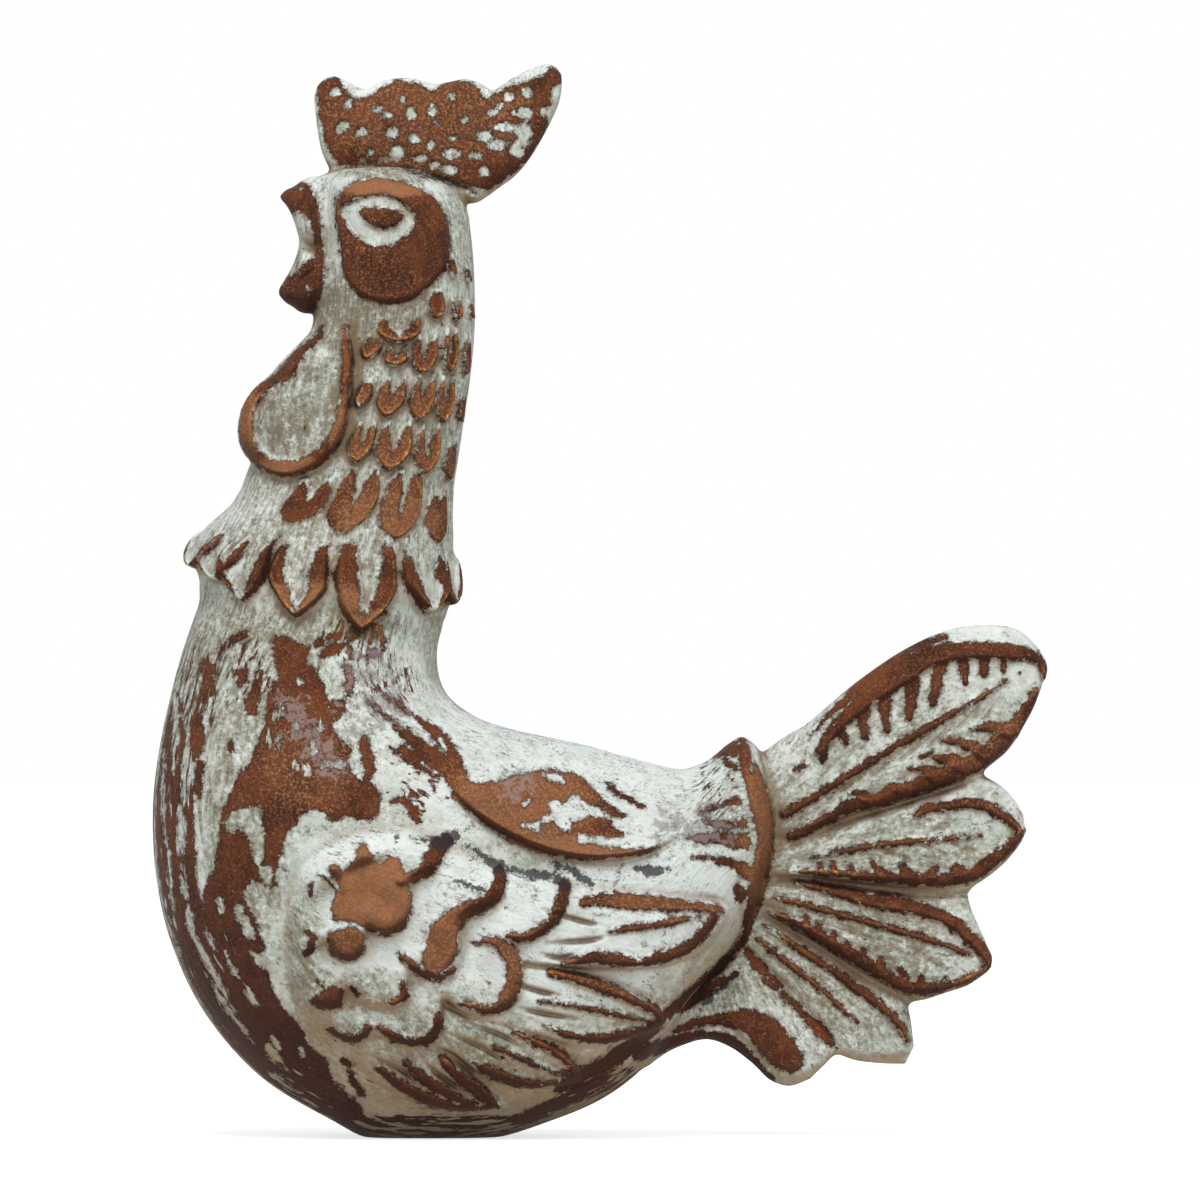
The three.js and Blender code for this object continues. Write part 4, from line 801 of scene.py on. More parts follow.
def stroke(u, v, points):
    """A line of (u, v, half width) rows, each width running into the next."""
    best = np.full(u.shape, FAR)
    line = spline(points, 3)
    for a, b in zip(line, line[1:]):
        part, gap = along_run(u, v, a[:2], b[:2])
        best = np.maximum(best, a[2] + (b[2] - a[2]) * part - gap)
    return best


def area(u, v, points):
    """The inside of a closed outline of (u, v) rows."""
    nearest = np.full(u.shape, -FAR)
    inside = np.zeros(u.shape, bool)
    around = spline([points[-1], *points, points[0], points[1]], 4)[4:-4]
    for a, b in zip(around, around[1:]):
        nearest = np.minimum(nearest, along_run(u, v, a, b)[1])
        if a[1] != b[1]:
            crosses = (v < a[1]) != (v < b[1])
            inside ^= crosses & (u < a[0] + (v - a[1]) * (b[0] - a[0]) / (b[1] - a[1]))
    return np.where(inside, nearest, -nearest)


def spots(u, v, points):
    """Round patches of (u, v, half width, half height)."""
    best = np.full(u.shape, FAR)
    for a, b, wide, high in points:
        best = np.maximum(best, min(wide, high) * (1 - np.hypot((u - a) / wide, (v - b) / high)))
    return best


def ramp(value, low, high):
    """A smooth step from 0 at low to 1 at high."""
    t = np.clip((value - low) / (high - low), 0, 1)
    return t * t * (3 - 2 * t)


class Sheet(dict):
    """Fields by name, drawn over a view with one cell for a pixel."""

    def __init__(self, u, v, **blank):
        super().__init__()
        self.first = (u[0], v[0])
        self.u, self.v = np.meshgrid(np.arange(*u, dtype=float), np.arange(*v, dtype=float), indexing="ij")
        for name, value in blank.items():
            self[name] = np.full(self.u.shape, value)

    def near(self, points, reach):
        """The window of cells that some points can reach."""
        p = np.asarray([row[:2] for row in points], float)
        low = np.maximum(np.floor(p.min(0) - reach - self.first).astype(int), 0)
        high = np.maximum(np.ceil(p.max(0) + reach - self.first).astype(int) + 1, 0)
        return slice(low[0], high[0]), slice(low[1], high[1])

    def shape(self, kind, points, reach=30):
        window = self.near(points, reach)
        return window, kind(self.u[window], self.v[window], points)

    def lift(self, name, window, value):
        """The field is at least the value there."""
        self[name][window] = np.maximum(self[name][window], value)

    def sample(self, name, u, v):
        field = self[name]
        a = np.clip(u - self.first[0], 0, field.shape[0] - 1.001)
        b = np.clip(v - self.first[1], 0, field.shape[1] - 1.001)
        i, j = a.astype(int), b.astype(int)
        s, t = a - i, b - j
        top = field[i, j] * (1 - s) + field[i + 1, j] * s
        low = field[i, j + 1] * (1 - s) + field[i + 1, j + 1] * s
        return top * (1 - t) + low * t


def paint(sheet, kind, shapes, name="worn"):
    """The shapes are bare brown clay, or marked in another field."""
    for points in shapes:
        sheet.lift(name, *sheet.shape(kind, points))


def cover(sheet, kind, shapes):
    """The shapes are under the pale wash again."""
    for points in shapes:
        window, inside = sheet.shape(kind, points)
        sheet["worn"][window] = np.minimum(sheet["worn"][window], -inside)


def raise_to(sheet, points, level, soft):
    """A layer whose face stands at that level, with a rounded edge inside its outline."""
    window, inside = sheet.shape(area, points)
    here = sheet["height"][window]
    sheet["height"][window] = here + np.maximum(level - here, 0) * ramp(inside, -soft / 3, soft)


def press(sheet, kind, shapes, depth, soft):
    """Adds a ridge (depth above 0) or groove (below 0) along each shape."""
    for points in shapes:
        window, inside = sheet.shape(kind, points)
        sheet["height"][window] += depth * ramp(inside, -soft, soft)


# The side sheet
def draw_side():
    blank = dict.fromkeys(("height", "share", "dirt", "clean", "dust", "turned", "down"), 0.0)
    blank |= dict.fromkeys(("worn", "stain", "haze", "wing", "saddle", "cheek", "eye", "wattle"), FAR)
    side = Sheet(*SIDE_SHEET, **blank)
    for carve_region in (carve_wing, carve_head, carve_back, carve_tail):
        carve_region(side)
    for wear_region in (wear_breast, wear_back, wear_wing, wear_head, wear_tail):
        wear_region(side)
    draw_flow(side)
    for name, rows in (("share", BARE_SHARE), ("dirt", DIRT_AND_SHADE), ("clean", CLEAN), ("dust", DUST_AND_SHEEN)):
        spread(side, name, rows)
    side["dirt"] -= side["clean"]
    paint(side, area, [WING_OUTLINE], "wing")
    paint(side, area, [SADDLE_OUTLINE], "saddle")
    paint(side, area, [CHEEK], "cheek")
    paint(side, area, [EYE], "eye")
    paint(side, area, [WATTLE_OUTLINE], "wattle")
    return side


def spread(sheet, name, rows):
    """Soft patches of (u, v, half width, half height, share)."""
    for u, v, wide, high, share in rows:
        near = 1 - np.hypot((sheet.u - u) / wide, (sheet.v - v) / high) ** 2
        sheet[name] = np.maximum(sheet[name], share * np.clip(near * PATCH_EDGE, 0, 1))


def draw_flow(sheet):
    """Where each pixel is on the trunk: -1 at its back to 1 at its front, and millimetres down it."""
    rows = spline([[*back, *front] for back, front, _ in TRUNK], 3)
    back, rib = rows[:, :2], rows[:, 2:] - rows[:, :2]
    length = np.hypot(rib[:, 0], rib[:, 1])
    steps = np.diff(back + rib / 2, axis=0)
    down = np.concatenate([[0], np.cumsum(np.hypot(steps[:, 0], steps[:, 1]))]) * PIXEL

    def past(k):
        return (rib[k, 0] * (sheet.v - back[k, 1]) - rib[k, 1] * (sheet.u - back[k, 0])) / length[k]

    here = past(0)
    for k in range(len(rows) - 1):
        there = past(k + 1)
        which = (here <= 0) & (there > 0)
        part = here[which] / (here[which] - there[which])
        start = back[k] + np.outer(part, back[k + 1] - back[k])
        ray = rib[k] + np.outer(part, rib[k + 1] - rib[k])
        from_back = np.stack([sheet.u[which], sheet.v[which]], -1) - start
        share = np.sum(from_back * ray, 1) / np.sum(ray * ray, 1)
        sheet["turned"][which] = np.clip(2 * share - 1, -1.2, 1.2)
        sheet["down"][which] = down[k] + part * (down[k + 1] - down[k])
        here = there


def bulge(sheet, outline, height, rise, fall=None):
    """A crowned face: it rises inside its outline, and may fall again further in."""
    window, inside = sheet.shape(area, outline)
    crown = height * ramp(inside, *rise)
    sheet["height"][window] += crown * (1 - ramp(inside, *fall)) if fall else crown


def carve_wing(sheet):
    raise_to(sheet, WING_OUTLINE, level=1.1, soft=9)
    for level, points in ((1.8, PRIMARY_4), (1.9, PRIMARY_3), (2.1, PRIMARY_2), (2.2, PRIMARY_1)):
        raise_to(sheet, points, level, soft=5)
    for level, points in ((2.3, LOWER_COVERTS), (2.9, UPPER_COVERTS), (3.3, SHOULDER)):
        raise_to(sheet, points, level, soft=5)
        bulge(sheet, points, height=1.0, rise=(-1, 9), fall=(14, 40))
    window, inside = sheet.shape(stroke, WING_FRONT, reach=60)
    sheet["height"][window] *= ramp(-inside, 2, 34)
    press(sheet, stroke, WING_RIMS, depth=0.85, soft=3)
    press(sheet, area, WING_DISC[:2], depth=0.4, soft=4)
    press(sheet, area, WING_DISC[:1], depth=0.9, soft=18)
    press(sheet, area, WING_DISC[1:], depth=0.8, soft=10)
    press(sheet, stroke, WING_QUILLS, depth=0.6, soft=2)
    press(sheet, stroke, WING_BARBS, depth=-0.9, soft=2)


def carve_head(sheet):
    raise_to(sheet, CHEEK, level=1.3, soft=5)
    bulge(sheet, CHEEK, height=1.3, rise=(0, 60))
    press(sheet, area, [EYE], depth=-1.0, soft=3)
    press(sheet, area, [PUPIL], depth=1.1, soft=4)
    press(sheet, spots, [[spot] for spot in COMB_WASH], depth=-0.25, soft=2)
    press(sheet, stroke, COMB_BASE_LINE, depth=-0.6, soft=3)
    window, inside = sheet.shape(area, WATTLE_OUTLINE)
    sheet["height"][window] += 1.2 * ramp(inside, -2, 5) * ramp(sheet.v[window], 314, 360)
    press(sheet, stroke, WATTLE_RIM[:1], depth=0.7, soft=3)
    press(sheet, area, [WATTLE_FIELD], depth=-0.7, soft=4)
    press(sheet, stroke, [BEAK_LINE], depth=0.5, soft=2)


def carve_back(sheet):
    window, inside = sheet.shape(area, SADDLE_OUTLINE)
    u = sheet.u[window]
    sheet["height"][window] += 1.6 * ramp(inside, -2, 5) * ramp(u, 436, 500) * ramp(u, 715, 640)
    press(sheet, stroke, SADDLE_RIDGE, depth=0.7, soft=4)
    press(sheet, stroke, RUMP, depth=0.7, soft=5)
    press(sheet, stroke, RUMP_LINE, depth=-0.5, soft=4)


def carve_tail(sheet):
    press(sheet, stroke, TAIL_RIMS, depth=1.0, soft=3)
    press(sheet, stroke, TAIL_QUILLS, depth=0.8, soft=3)
    press(sheet, stroke, TAIL_TEETH, depth=0.5, soft=2)
    press(sheet, stroke, TAIL_GROOVES, depth=-0.6, soft=5)
    press(sheet, stroke, TAIL_BARBS, depth=-0.5, soft=2)
    press(sheet, stroke, SICKLE_LINES, depth=-0.6, soft=3)


def wear_breast(sheet):
    paint(sheet, area, BREAST_BROWN + BREAST_EDGE)
    paint(sheet, stroke, BREAST_STREAKS + BELLY_BROWN)
    cover(sheet, stroke, BREAST_WASH)


def wear_back(sheet):
    paint(sheet, stroke, SADDLE_BROWN + RUMP + RUMP_BROWN + RUMP_LINE)
    cover(sheet, stroke, SADDLE_WASH + RUMP_WASH)
    paint(sheet, stroke, DARK_STAINS, "stain")


def wear_wing(sheet):
    paint(sheet, stroke, WING_RIMS + WING_QUILLS + WING_MARKS)
    paint(sheet, area, WING_DISC)
    cover(sheet, stroke, WING_WASH)


def wear_head(sheet):
    paint(sheet, area, COMB_FACE + [CHEEK] + BEAK_BROWN)
    cover(sheet, spots, [[spot] for spot in COMB_WASH])
    cover(sheet, stroke, COMB_TOP_WASH)
    cover(sheet, area, [EYE])
    paint(sheet, area, [PUPIL])
    paint(sheet, stroke, WATTLE_RIM)
    cover(sheet, spots, [[spot] for spot in BEAK_WASH])
    paint(sheet, stroke, COMB_BASE_LINE, "stain")
    paint(sheet, area, HAZE, "haze")


def wear_tail(sheet):
    paint(sheet, stroke, TAIL_RIMS + TAIL_QUILLS + TAIL_TEETH + TAIL_MARKS + SICKLE_BROWN)


# The neck sheet, unrolled: half degrees from the nape, and pixels down
def neck_plan(v):
    """Middle, half depth and half width of the neck at a height, in pixels."""
    ribs = [rib for rib in THROAT if rib[0][1] < CAPE[0][0][1]] + CAPE
    rows = sorted([(b[1] + f[1]) / 2, (b[0] + f[0]) / 2, (b[0] - f[0]) / 2, wide] for b, f, wide in ribs)
    heights, *plans = np.array(rows).T
    return [np.interp(v, heights, plan) for plan in plans]


def neck_turn(x, y, v):
    """Half degrees round the neck from the nape."""
    middle, deep, wide = neck_plan(v)
    return np.degrees(np.arctan2(np.abs(y) / PIXEL / wide, (to_u(x) - middle) / deep)) * 2


def petal_shapes(sheet, petal, lean=0, point=0.7):
    """(window, petal, groove, share of its length) of one petal on the neck sheet."""
    u, top, tip, half, groove, run = petal
    length = tip - top
    middle, deep, wide = neck_plan(top + PETAL_WAIST * length)
    along = np.clip((u - middle) / (deep + PETAL_RAISED), -1, 1)
    turn = math.atan2((1 - abs(along) ** ROUNDNESS) ** (1 / ROUNDNESS), along)
    reach = math.hypot(deep * math.sin(turn), wide * math.cos(turn))
    at = math.degrees(turn) * 2
    span = math.degrees((half + 20) / reach) * 2
    window = sheet.near([(at - span, top - 10), (at + span, tip + 20)], 0)
    down = (sheet.v[window] - top) / length
    beside = np.radians((sheet.u[window] - at) / 2) * reach - lean * (down - PETAL_WAIST)
    taper = np.maximum(1 - np.clip(2 * down - 1, 0, 1) ** 2, 0) ** point
    edge = half * (0.8 + 0.2 * ramp(down, 0, 0.5)) * taper - np.abs(beside)
    edge = np.minimum(edge, np.minimum(1.02 - down, down + 0.08) * length)
    slit = groove * (1 - np.clip(down / max(run, 0.01), -0.3, 1)) ** 0.6 - np.abs(beside)
    slit = np.minimum(slit, (run - down) * length * 0.5)
    return window, edge, slit, down


def draw_hackle(sheet, petal, row):
    window, edge, slit, down = petal_shapes(sheet, petal)
    level = HACKLE_ROOT + HACKLE_RISE * np.clip(down, 0, 1) ** 1.3
    level += HACKLE_RIM * ramp(edge, 0, 3) * (1 - ramp(edge, 3, 8))
    level -= HACKLE_GROOVE * ramp(slit, -2, 2)
    level *= ramp(edge, -2, 2.5) * (0.35 + 0.65 * ramp(sheet.u[window], 20, 70))
    sheet.lift("height", window, level)
    sheet.lift("worn", window, np.minimum(edge - 1.2, -slit - 0.6) - 5 * ramp(down, 0.2, -0.05))
    sheet["row"][window] = np.where(edge > 0, row, sheet["row"][window])


def draw_ruff_petal(sheet, petal):
    lean = RUFF_LEAN * ramp(petal[0], 450, 360)
    window, edge, slit, down = petal_shapes(sheet, petal, lean, point=0.95)
    level = RUFF_FACE * ramp(edge, -1, 8) + RUFF_RIM * ramp(edge, 0, 3) * (1 - ramp(edge, 5, 10))
    level -= RUFF_GROOVE * ramp(slit, -3, 3)
    sheet.lift("ruff", window, edge)
    sheet.lift("ruff_height", window, level * ramp(down, 0, 0.3))
    sheet.lift("ruff_worn", window, np.minimum(np.minimum(edge, -slit - 4.5), (down - 0.12) * 60))


def draw_neck():
    blank = dict.fromkeys(("height", "row", "ruff_height"), 0.0)
    blank |= dict.fromkeys(("worn", "ruff", "ruff_worn"), FAR)
    neck = Sheet(*NECK_SHEET, **blank)
    for row in range(len(HACKLES), 0, -1):
        for petal in HACKLES[row - 1]:
            draw_hackle(neck, petal, row)
    for petal in RUFF:
        draw_ruff_petal(neck, petal)
    neck["ruff"] = np.maximum(neck["ruff"], RUFF_TOP_V - neck.v)
    return neck


# The clay
def build_clay(side, neck):
    clay = Clay()
    join_web(clay)
    tail = {"thickness": TAIL_THICKNESS, "roundness": FLAT_ROUNDNESS}
    sickle = {"thickness": SICKLE_THICKNESS, "roundness": SICKLE_ROUNDNESS}
    forms = [
        ("body", loft(TRUNK), 0),
        ("upper_beak", loft(UPPER_BEAK), BEAK_FILLET),
        ("lower_beak", loft(LOWER_BEAK), BEAK_FILLET),
        ("comb", loft(COMB, roundness=FLAT_ROUNDNESS), COMB_FILLET),
        ("tail_feather_1", loft(TAIL_1, **tail), TAIL_ROOT_FILLET),
        ("tail_feather_2", loft(TAIL_2, **tail), FEATHER_FILLET),
        ("tail_feather_3", loft(TAIL_3, **tail), FEATHER_FILLET),
        ("tail_feather_4", loft(TAIL_4, **tail), FEATHER_FILLET),
        ("sickle_feather", loft(SICKLE, **sickle), SICKLE_FILLET),
    ]
    for name, form, fillet in forms:
        clay.join(*distance_block(*form), name, fillet)
    above = clay.owner[:, :, int(to_z(BODY[0][0][1]) / VOXEL) - LOW[2]:]
    above[above == OWNERS.index("body")] = OWNERS.index("throat")
    join_wattle(clay)
    carve(clay, side)
    carve_hackles(clay, neck)
    join_ruff(clay, neck)
    cut_foot(clay)
    return clay


def side_outline(points, x, z):
    """Millimetres inside an outline of the side view, over the width, and the pixels seen there."""
    u, v = np.meshgrid(to_u(x), to_v(z), indexing="ij")
    return area(u, v, points)[:, None, :] * PIXEL, u, v


def join_web(clay):
    """The thinner clay between the tail feathers."""
    window = clay.box(WEB_BOX)
    x, y, z = clay.axes(window)
    outline, u, v = side_outline(TAIL_WEB, x, z)
    half = WEB_HALF - WEB_THINNING * np.hypot(u - TAIL_ROOT[0], v - TAIL_ROOT[1])
    block = smooth_max(-outline, y[None, :, None] - half[:, None, :], WEB_EDGE)
    clay.join(block.astype(np.float32), [s.start for s in window], "web", 0)


def join_wattle(clay):
    block, first = distance_block(*loft(WATTLE))
    x, y, z = clay.axes(clay.window(first, block.shape))
    outline = side_outline(WATTLE_OUTLINE, x, z)[0]
    split = WATTLE_SPLIT_DEPTH * np.exp(-((y / WATTLE_SPLIT_HALF) ** 2))[None, :, None]
    block = smooth_max(block, -outline, WATTLE_EDGE) + split
    clay.join(block.astype(np.float32), first, "wattle", WATTLE_FILLET)


def carve(clay, side):
    """Raises what is drawn on the side, less and less where the form turns away."""
    x, _, z = clay.axes(tuple(slice(0, n) for n in SIZE))
    u, v = np.meshgrid(to_u(x), to_v(z), indexing="ij")
    height = side.sample("height", u, v)[:, None, :].astype(np.float32)
    drawn = np.flatnonzero(np.any(height != 0, axis=(1, 2)))
    part = slice(drawn[0], drawn[-1] + 1)
    facing = np.abs(np.gradient(clay.field[part], VOXEL, axis=1))
    facing[:, 0] = facing[:, 1]
    clay.field[part] -= height[part] * ramp(facing, *CARVED_FACING)


def on_neck(clay, neck, window, *names):
    """Fields of the neck sheet at a window's cells, and the pixels down."""
    xs, ys, zs = np.meshgrid(*clay.axes(window), indexing="ij", sparse=True)
    turn = neck_turn(xs, ys, to_v(zs))
    down = np.broadcast_to(to_v(zs), turn.shape)
    return [neck.sample(name, turn, down) for name in names], down


def carve_hackles(clay, neck):
    window = clay.box(NECK_BOX)
    (height,), _ = on_neck(clay, neck, window, "height")
    clay.field[window] -= height.astype(np.float32)


def join_ruff(clay, neck):
    """A skirt of clay round the neck's foot, and the petals that flare out over it."""
    block, first = distance_block(*loft(CAPE))
    (petals, height), down = on_neck(clay, neck, clay.window(first, block.shape), "ruff", "ruff_height")
    skirt = block + SKIRT_DEPTH + SKIRT_FALL * ramp(down, *SKIRT_V)
    clay.join(skirt.astype(np.float32), first, "ruff", SKIRT_FILLET)
    block = smooth_max(block + RUFF_SUNK - height, -RUFF_SLANT * petals * PIXEL, RUFF_EDGE)
    clay.join(block.astype(np.float32), first, "ruff", RUFF_FILLET)


def cut_foot(clay):
    """The ground foot at height 0, and the pour hole in it."""
    low = clay.field[:, :, :FOOT_CELLS]
    x, y, z = clay.axes((slice(0, SIZE[0]), slice(0, SIZE[1]), slice(0, FOOT_CELLS)))
    low[:] = smooth_max(low, -z[None, None, :], FOOT_EDGE)
    radius = np.hypot((x - POUR_HOLE_X)[:, None], y[None, :])[:, :, None]
    hole = np.maximum(radius - POUR_HOLE_RADIUS, (z - POUR_HOLE_DEPTH)[None, None, :])
    low[:] = smooth_max(low, -hole, POUR_HOLE_EDGE)


def mesh_clay(clay):
    """Corners and quads of the whole bird's surface, facing out."""
    whole = np.concatenate([clay.field[:, :0:-1], clay.field], 1)
    grid = openvdb.FloatGrid(background=BAND)
    grid.copyFromArray(whole, ijk=(int(LOW[0]), int(1 - SIZE[1]), int(LOW[2])), tolerance=0)
    grid.transform = openvdb.createLinearTransform(voxelSize=VOXEL)
    corners, quads = grid.convertToQuads(isovalue=0)
    corners = corners.astype(float)
    a, b, c = (corners[quads[:, k]] for k in range(3))
    if np.sum(np.einsum("ij,ij->i", np.cross(b - a, c - a), a + b + c - 3 * corners.mean(0))) < 0:
        quads = quads[:, ::-1]
    return corners, quads


def slopes(clay, points):
    """The surface's outward directions."""
    out = np.empty_like(points)
    for k in range(3):
        shift = np.zeros(3)
        shift[k] = SLOPE_STEP
        out[:, k] = clay.sample(points + shift) - clay.sample(points - shift)
    return out / np.maximum(np.linalg.norm(out, axis=1, keepdims=True), 1e-9)


class Skin:
    """The bird's surface, with where each corner is on the drawings and which form it is on."""

    def __init__(self, clay):
        self.corners, self.quads = mesh_clay(clay)
        self.normals = slopes(clay, self.corners)
        self.u = to_u(self.corners[:, 0])
        self.v = to_v(self.corners[:, 2])
        self.turn = neck_turn(self.corners[:, 0], self.corners[:, 1], self.v)
        self.owner = clay.owner_at(self.corners)
        self.beside = np.abs(self.corners[:, 1])

    def on(self, *names):
        """The corners that are on any of these forms."""
        return np.isin(self.owner, [OWNERS.index(name) for name in names])


def settle(clay, skin):
    """Replaces the carved field by the true distance from its surface."""
    clay.field[:] = BAND
    block, first = distance_block(skin.corners, skin.quads, np.empty((0, 3)))
    clay.field[clay.window(first, block.shape)] = block


def box_blur(block, reach):
    """The mean over a cube of cells on each side."""
    for axis in range(3):
        rows = np.moveaxis(block, axis, 0)
        total = np.cumsum(np.pad(rows, ((reach + 1, reach), (0, 0), (0, 0))), 0)
        block = np.moveaxis((total[2 * reach + 1:] - total[:-2 * reach - 1]) / (2 * reach + 1), 0, axis)
    return block


def crowding(clay, points, coarse=2, reach=3):
    """The share of clay round each point: half on a flat face, more in a valley."""
    n = SIZE // coarse
    solid = (clay.field[:n[0] * coarse, :n[1] * coarse, :n[2] * coarse] < 0).astype(np.float32)
    solid = solid.reshape(n[0], coarse, n[1], coarse, n[2], coarse).mean((1, 3, 5))
    solid = box_blur(np.concatenate([solid[:, ::-1], solid], 1), reach)
    place = mirrored(points)
    place[:, 1] += n[1] * coarse
    return between_cells(solid, (place - (coarse - 1) / 2) / coarse)


def fan(skin, used, centre, reach):
    """Strokes that spread out from a place on the side view."""
    du, dv = skin.u[used] - centre[0], skin.v[used] - centre[1]
    return np.arctan2(dv, du) * reach, np.hypot(du, dv) * PIXEL


def brush_lines(side, skin, node, used):
    """Places across and along the strokes the wash was laid on with, in millimetres."""
    x, y, z = skin.corners[used].T
    beside = skin.beside[used]
    if node.startswith("wing"):
        across, along = fan(skin, used, WING_ROOT, WING_REACH)
    elif node.startswith(("tail", "sickle")):
        across, along = fan(skin, used, TAIL_ROOT, TAIL_REACH)
    elif node.startswith("wattle") or node in ("comb", "upper_beak", "lower_beak"):
        across, along = x + BRUSH_LEAN * beside, z
    else:
        turned = side.sample("turned", skin.u[used], skin.v[used])
        across = TRUNK_REACH * turned - BRUSH_LEAN * beside * np.clip(1.5 * turned, -1, 1)
        along = side.sample("down", skin.u[used], skin.v[used])
    return {"across": across + np.where(y > 0, RIGHT_SIDE_SHIFT, 0), "along": along}


def surface_facts(clay, side, neck, skin):
    """What the material reads at each corner."""
    u, v = skin.u, skin.v
    round_form = skin.on("body", "throat", "ruff") & (u < TAIL_ROOT_U)
    drawn = np.where(round_form, ramp(np.abs(skin.normals[:, 1]), *DRAWN_FACING), 1.0)
    worn = side.sample("worn", u, v)
    worn = np.where(drawn < 1, np.minimum(worn, worn * drawn + FAR / 4 * (1 - drawn)), worn)
    petals = neck.sample("worn", skin.turn, v)
    worn = np.where(skin.on("throat") & (v > WORN_PETALS_V), np.maximum(worn, petals), worn)
    worn = np.where(skin.on("ruff"), neck.sample("ruff_worn", skin.turn, v), worn)
    share = side.sample("share", u, v)
    chance = np.where((u < BREAST_U) | (v > BELLY_V), LOW_CHANCE, BACK_CHANCE)
    share = np.where(skin.on("body") & (v > BODY_TOP_V), np.maximum(share, chance * (1 - drawn)), share)
    near, far, under = (clay.sample(skin.corners + skin.normals * reach) / reach for reach in FEEL_REACHES)
    return {
        "worn": worn,
        "share": share,
        "stain": np.where(drawn > 0.5, side.sample("stain", u, v), FAR),
        "hollow": np.clip(1 - 0.5 * (near + far), 0, 1),
        "edge": np.clip(1 - under, 0, 1),
        "crowd": crowding(clay, skin.corners),
        # Tan dirt, and painted shade laid on shaded places
        "dirt": side.sample("dirt", u, v),
        # Dust, and painted sheen laid on lit faces
        "dust": side.sample("dust", u, v),
        "haze": np.where(drawn > 0.5, side.sample("haze", u, v), FAR),
    }


def node_names(side, neck, skin):
    """The CAD node that each corner belongs to."""
    u, v = skin.u, skin.v

    def drawn(title):
        return side.sample(title, u, v) > 0

    name = np.array(OWNERS, dtype=object)[skin.owner]
    web = skin.on("web")
    name[web] = "tail_feather_1"
    below = ("tail_feather_2", "tail_feather_3", "tail_feather_4", "sickle_feather")
    for groove, title in zip(TAIL_GROOVES, below):
        line = np.array(groove)
        name[web & (v > np.interp(u, line[:, 0], line[:, 1]))] = title
    throat = skin.on("throat")
    name[throat] = np.where(v[throat] < HEAD_FOOT_V, "head", "neck")
    row = neck.sample("row", np.round(skin.turn), np.round(v))
    petal = throat & (row > 0.5) & (v > HACKLES_V)
    name[petal] = [f"hackle_row_{int(round(k))}" for k in row[petal]]
    name[skin.on("ruff")] = "neck_ruff"
    body = skin.on("body")
    name[body & drawn("saddle")] = "saddle"
    hand = np.where(skin.corners[:, 1] < 0, "left", "right")
    paired = {
        "cheek": throat & (skin.beside > CHEEK_DEPTH) & drawn("cheek"),
        "eye": throat & (skin.beside > CHEEK_DEPTH) & drawn("eye"),
        "wattle": skin.on("wattle") | throat & drawn("wattle"),
        "wing": body & drawn("wing"),
    }
    for title, here in paired.items():
        name[here] = [f"{title}_{k}" for k in hand[here]]
    return name.astype(str)


def piece_mesh(name, skin, quads, facts, side):
    """A mesh of some quads of the skin, in metres, with the skin's own directions."""
    used, quads = np.unique(quads, return_inverse=True)
    quads = quads.reshape(-1, 4)
    mesh = bpy.data.meshes.new(name + "_clay")
    mesh.vertices.add(len(used))
    mesh.vertices.foreach_set("co", (skin.corners[used] / 1000).astype(np.float32).ravel())
    mesh.loops.add(quads.size)
    mesh.loops.foreach_set("vertex_index", quads.astype(np.int32).ravel())
    mesh.polygons.add(len(quads))
    mesh.polygons.foreach_set("loop_start", np.arange(0, quads.size, 4, dtype=np.int32))
    mesh.polygons.foreach_set("use_smooth", np.ones(len(quads), bool))
    mesh.update(calc_edges=True)
    mesh.validate()
    own = {key: values[used] for key, values in facts.items()} | brush_lines(side, skin, name, used)
    for key, values in own.items():
        attribute = mesh.attributes.new(key, "FLOAT", "POINT")
        attribute.data.foreach_set("value", values.astype(np.float32))
    mesh.normals_split_custom_set_from_vertices(skin.normals[used].tolist())
    return mesh


def build_bird():
    side = draw_side()
    neck = draw_neck()
    clay = build_clay(side, neck)
    skin = Skin(clay)
    settle(clay, skin)
    facts = surface_facts(clay, side, neck, skin)
    names = node_names(side, neck, skin)[skin.quads[:, 0]]
    materials = {slot: glazed(slot) for slot in ("washed_glaze", "brown_glaze")}
    for node in sorted(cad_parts):
        mesh = piece_mesh(node, skin, skin.quads[names == node], facts, side)
        piece = bpy.data.objects.new(node + "_clay", mesh)
        bpy.context.scene.collection.objects.link(piece)
        slot = "brown_glaze" if node.startswith(BROWN_NODES) else "washed_glaze"
        mesh.materials.append(materials[slot])
        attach(piece, "root")
        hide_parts(node)


# Materials
def srgb(red, green, blue):
    """A colour as seen on a screen, 0 to 255, as the shader takes it."""
    parts = [c / 255 for c in (red, green, blue)]
    return [*(p / 12.92 if p <= 0.04045 else ((p + 0.055) / 1.055) ** 2.4 for p in parts), 1.0]


# The wash: its two ground tones, then what lies over them, with painted highlights on faces turned up and
# on edges, and painted shade on faces turned down and in hollows
WASH_DULL = srgb(194, 197, 186)
WASH_PALE = srgb(214, 219, 211)
MINT = srgb(190, 204, 192)
# A cool painted highlight on the wash where it faces up, as the lamps fall on it
WASH_TOP_HIGHLIGHT = srgb(226, 233, 232)
FRESH = srgb(226, 233, 230)
OLIVE_DAB = srgb(150, 152, 134)
BROWN_BLOT = srgb(108, 98, 84)
CHALK = srgb(232, 237, 230)
WASH_HAZE = srgb(126, 114, 112)
SPECK = srgb(86, 66, 52)
CRACK = srgb(84, 68, 56)
THIN_WASH = srgb(120, 98, 82)
# Tan grime, with painted shade where the dirt field marks shaded places
GRIME_AND_SHADE = srgb(112, 100, 74)
# Painted shade on the wash where it faces down
WASH_UNDERSIDE_SHADE = srgb(150, 125, 94)
# A painted highlight on the wash along convex edges
WASH_EDGE_HIGHLIGHT = srgb(232, 236, 228)
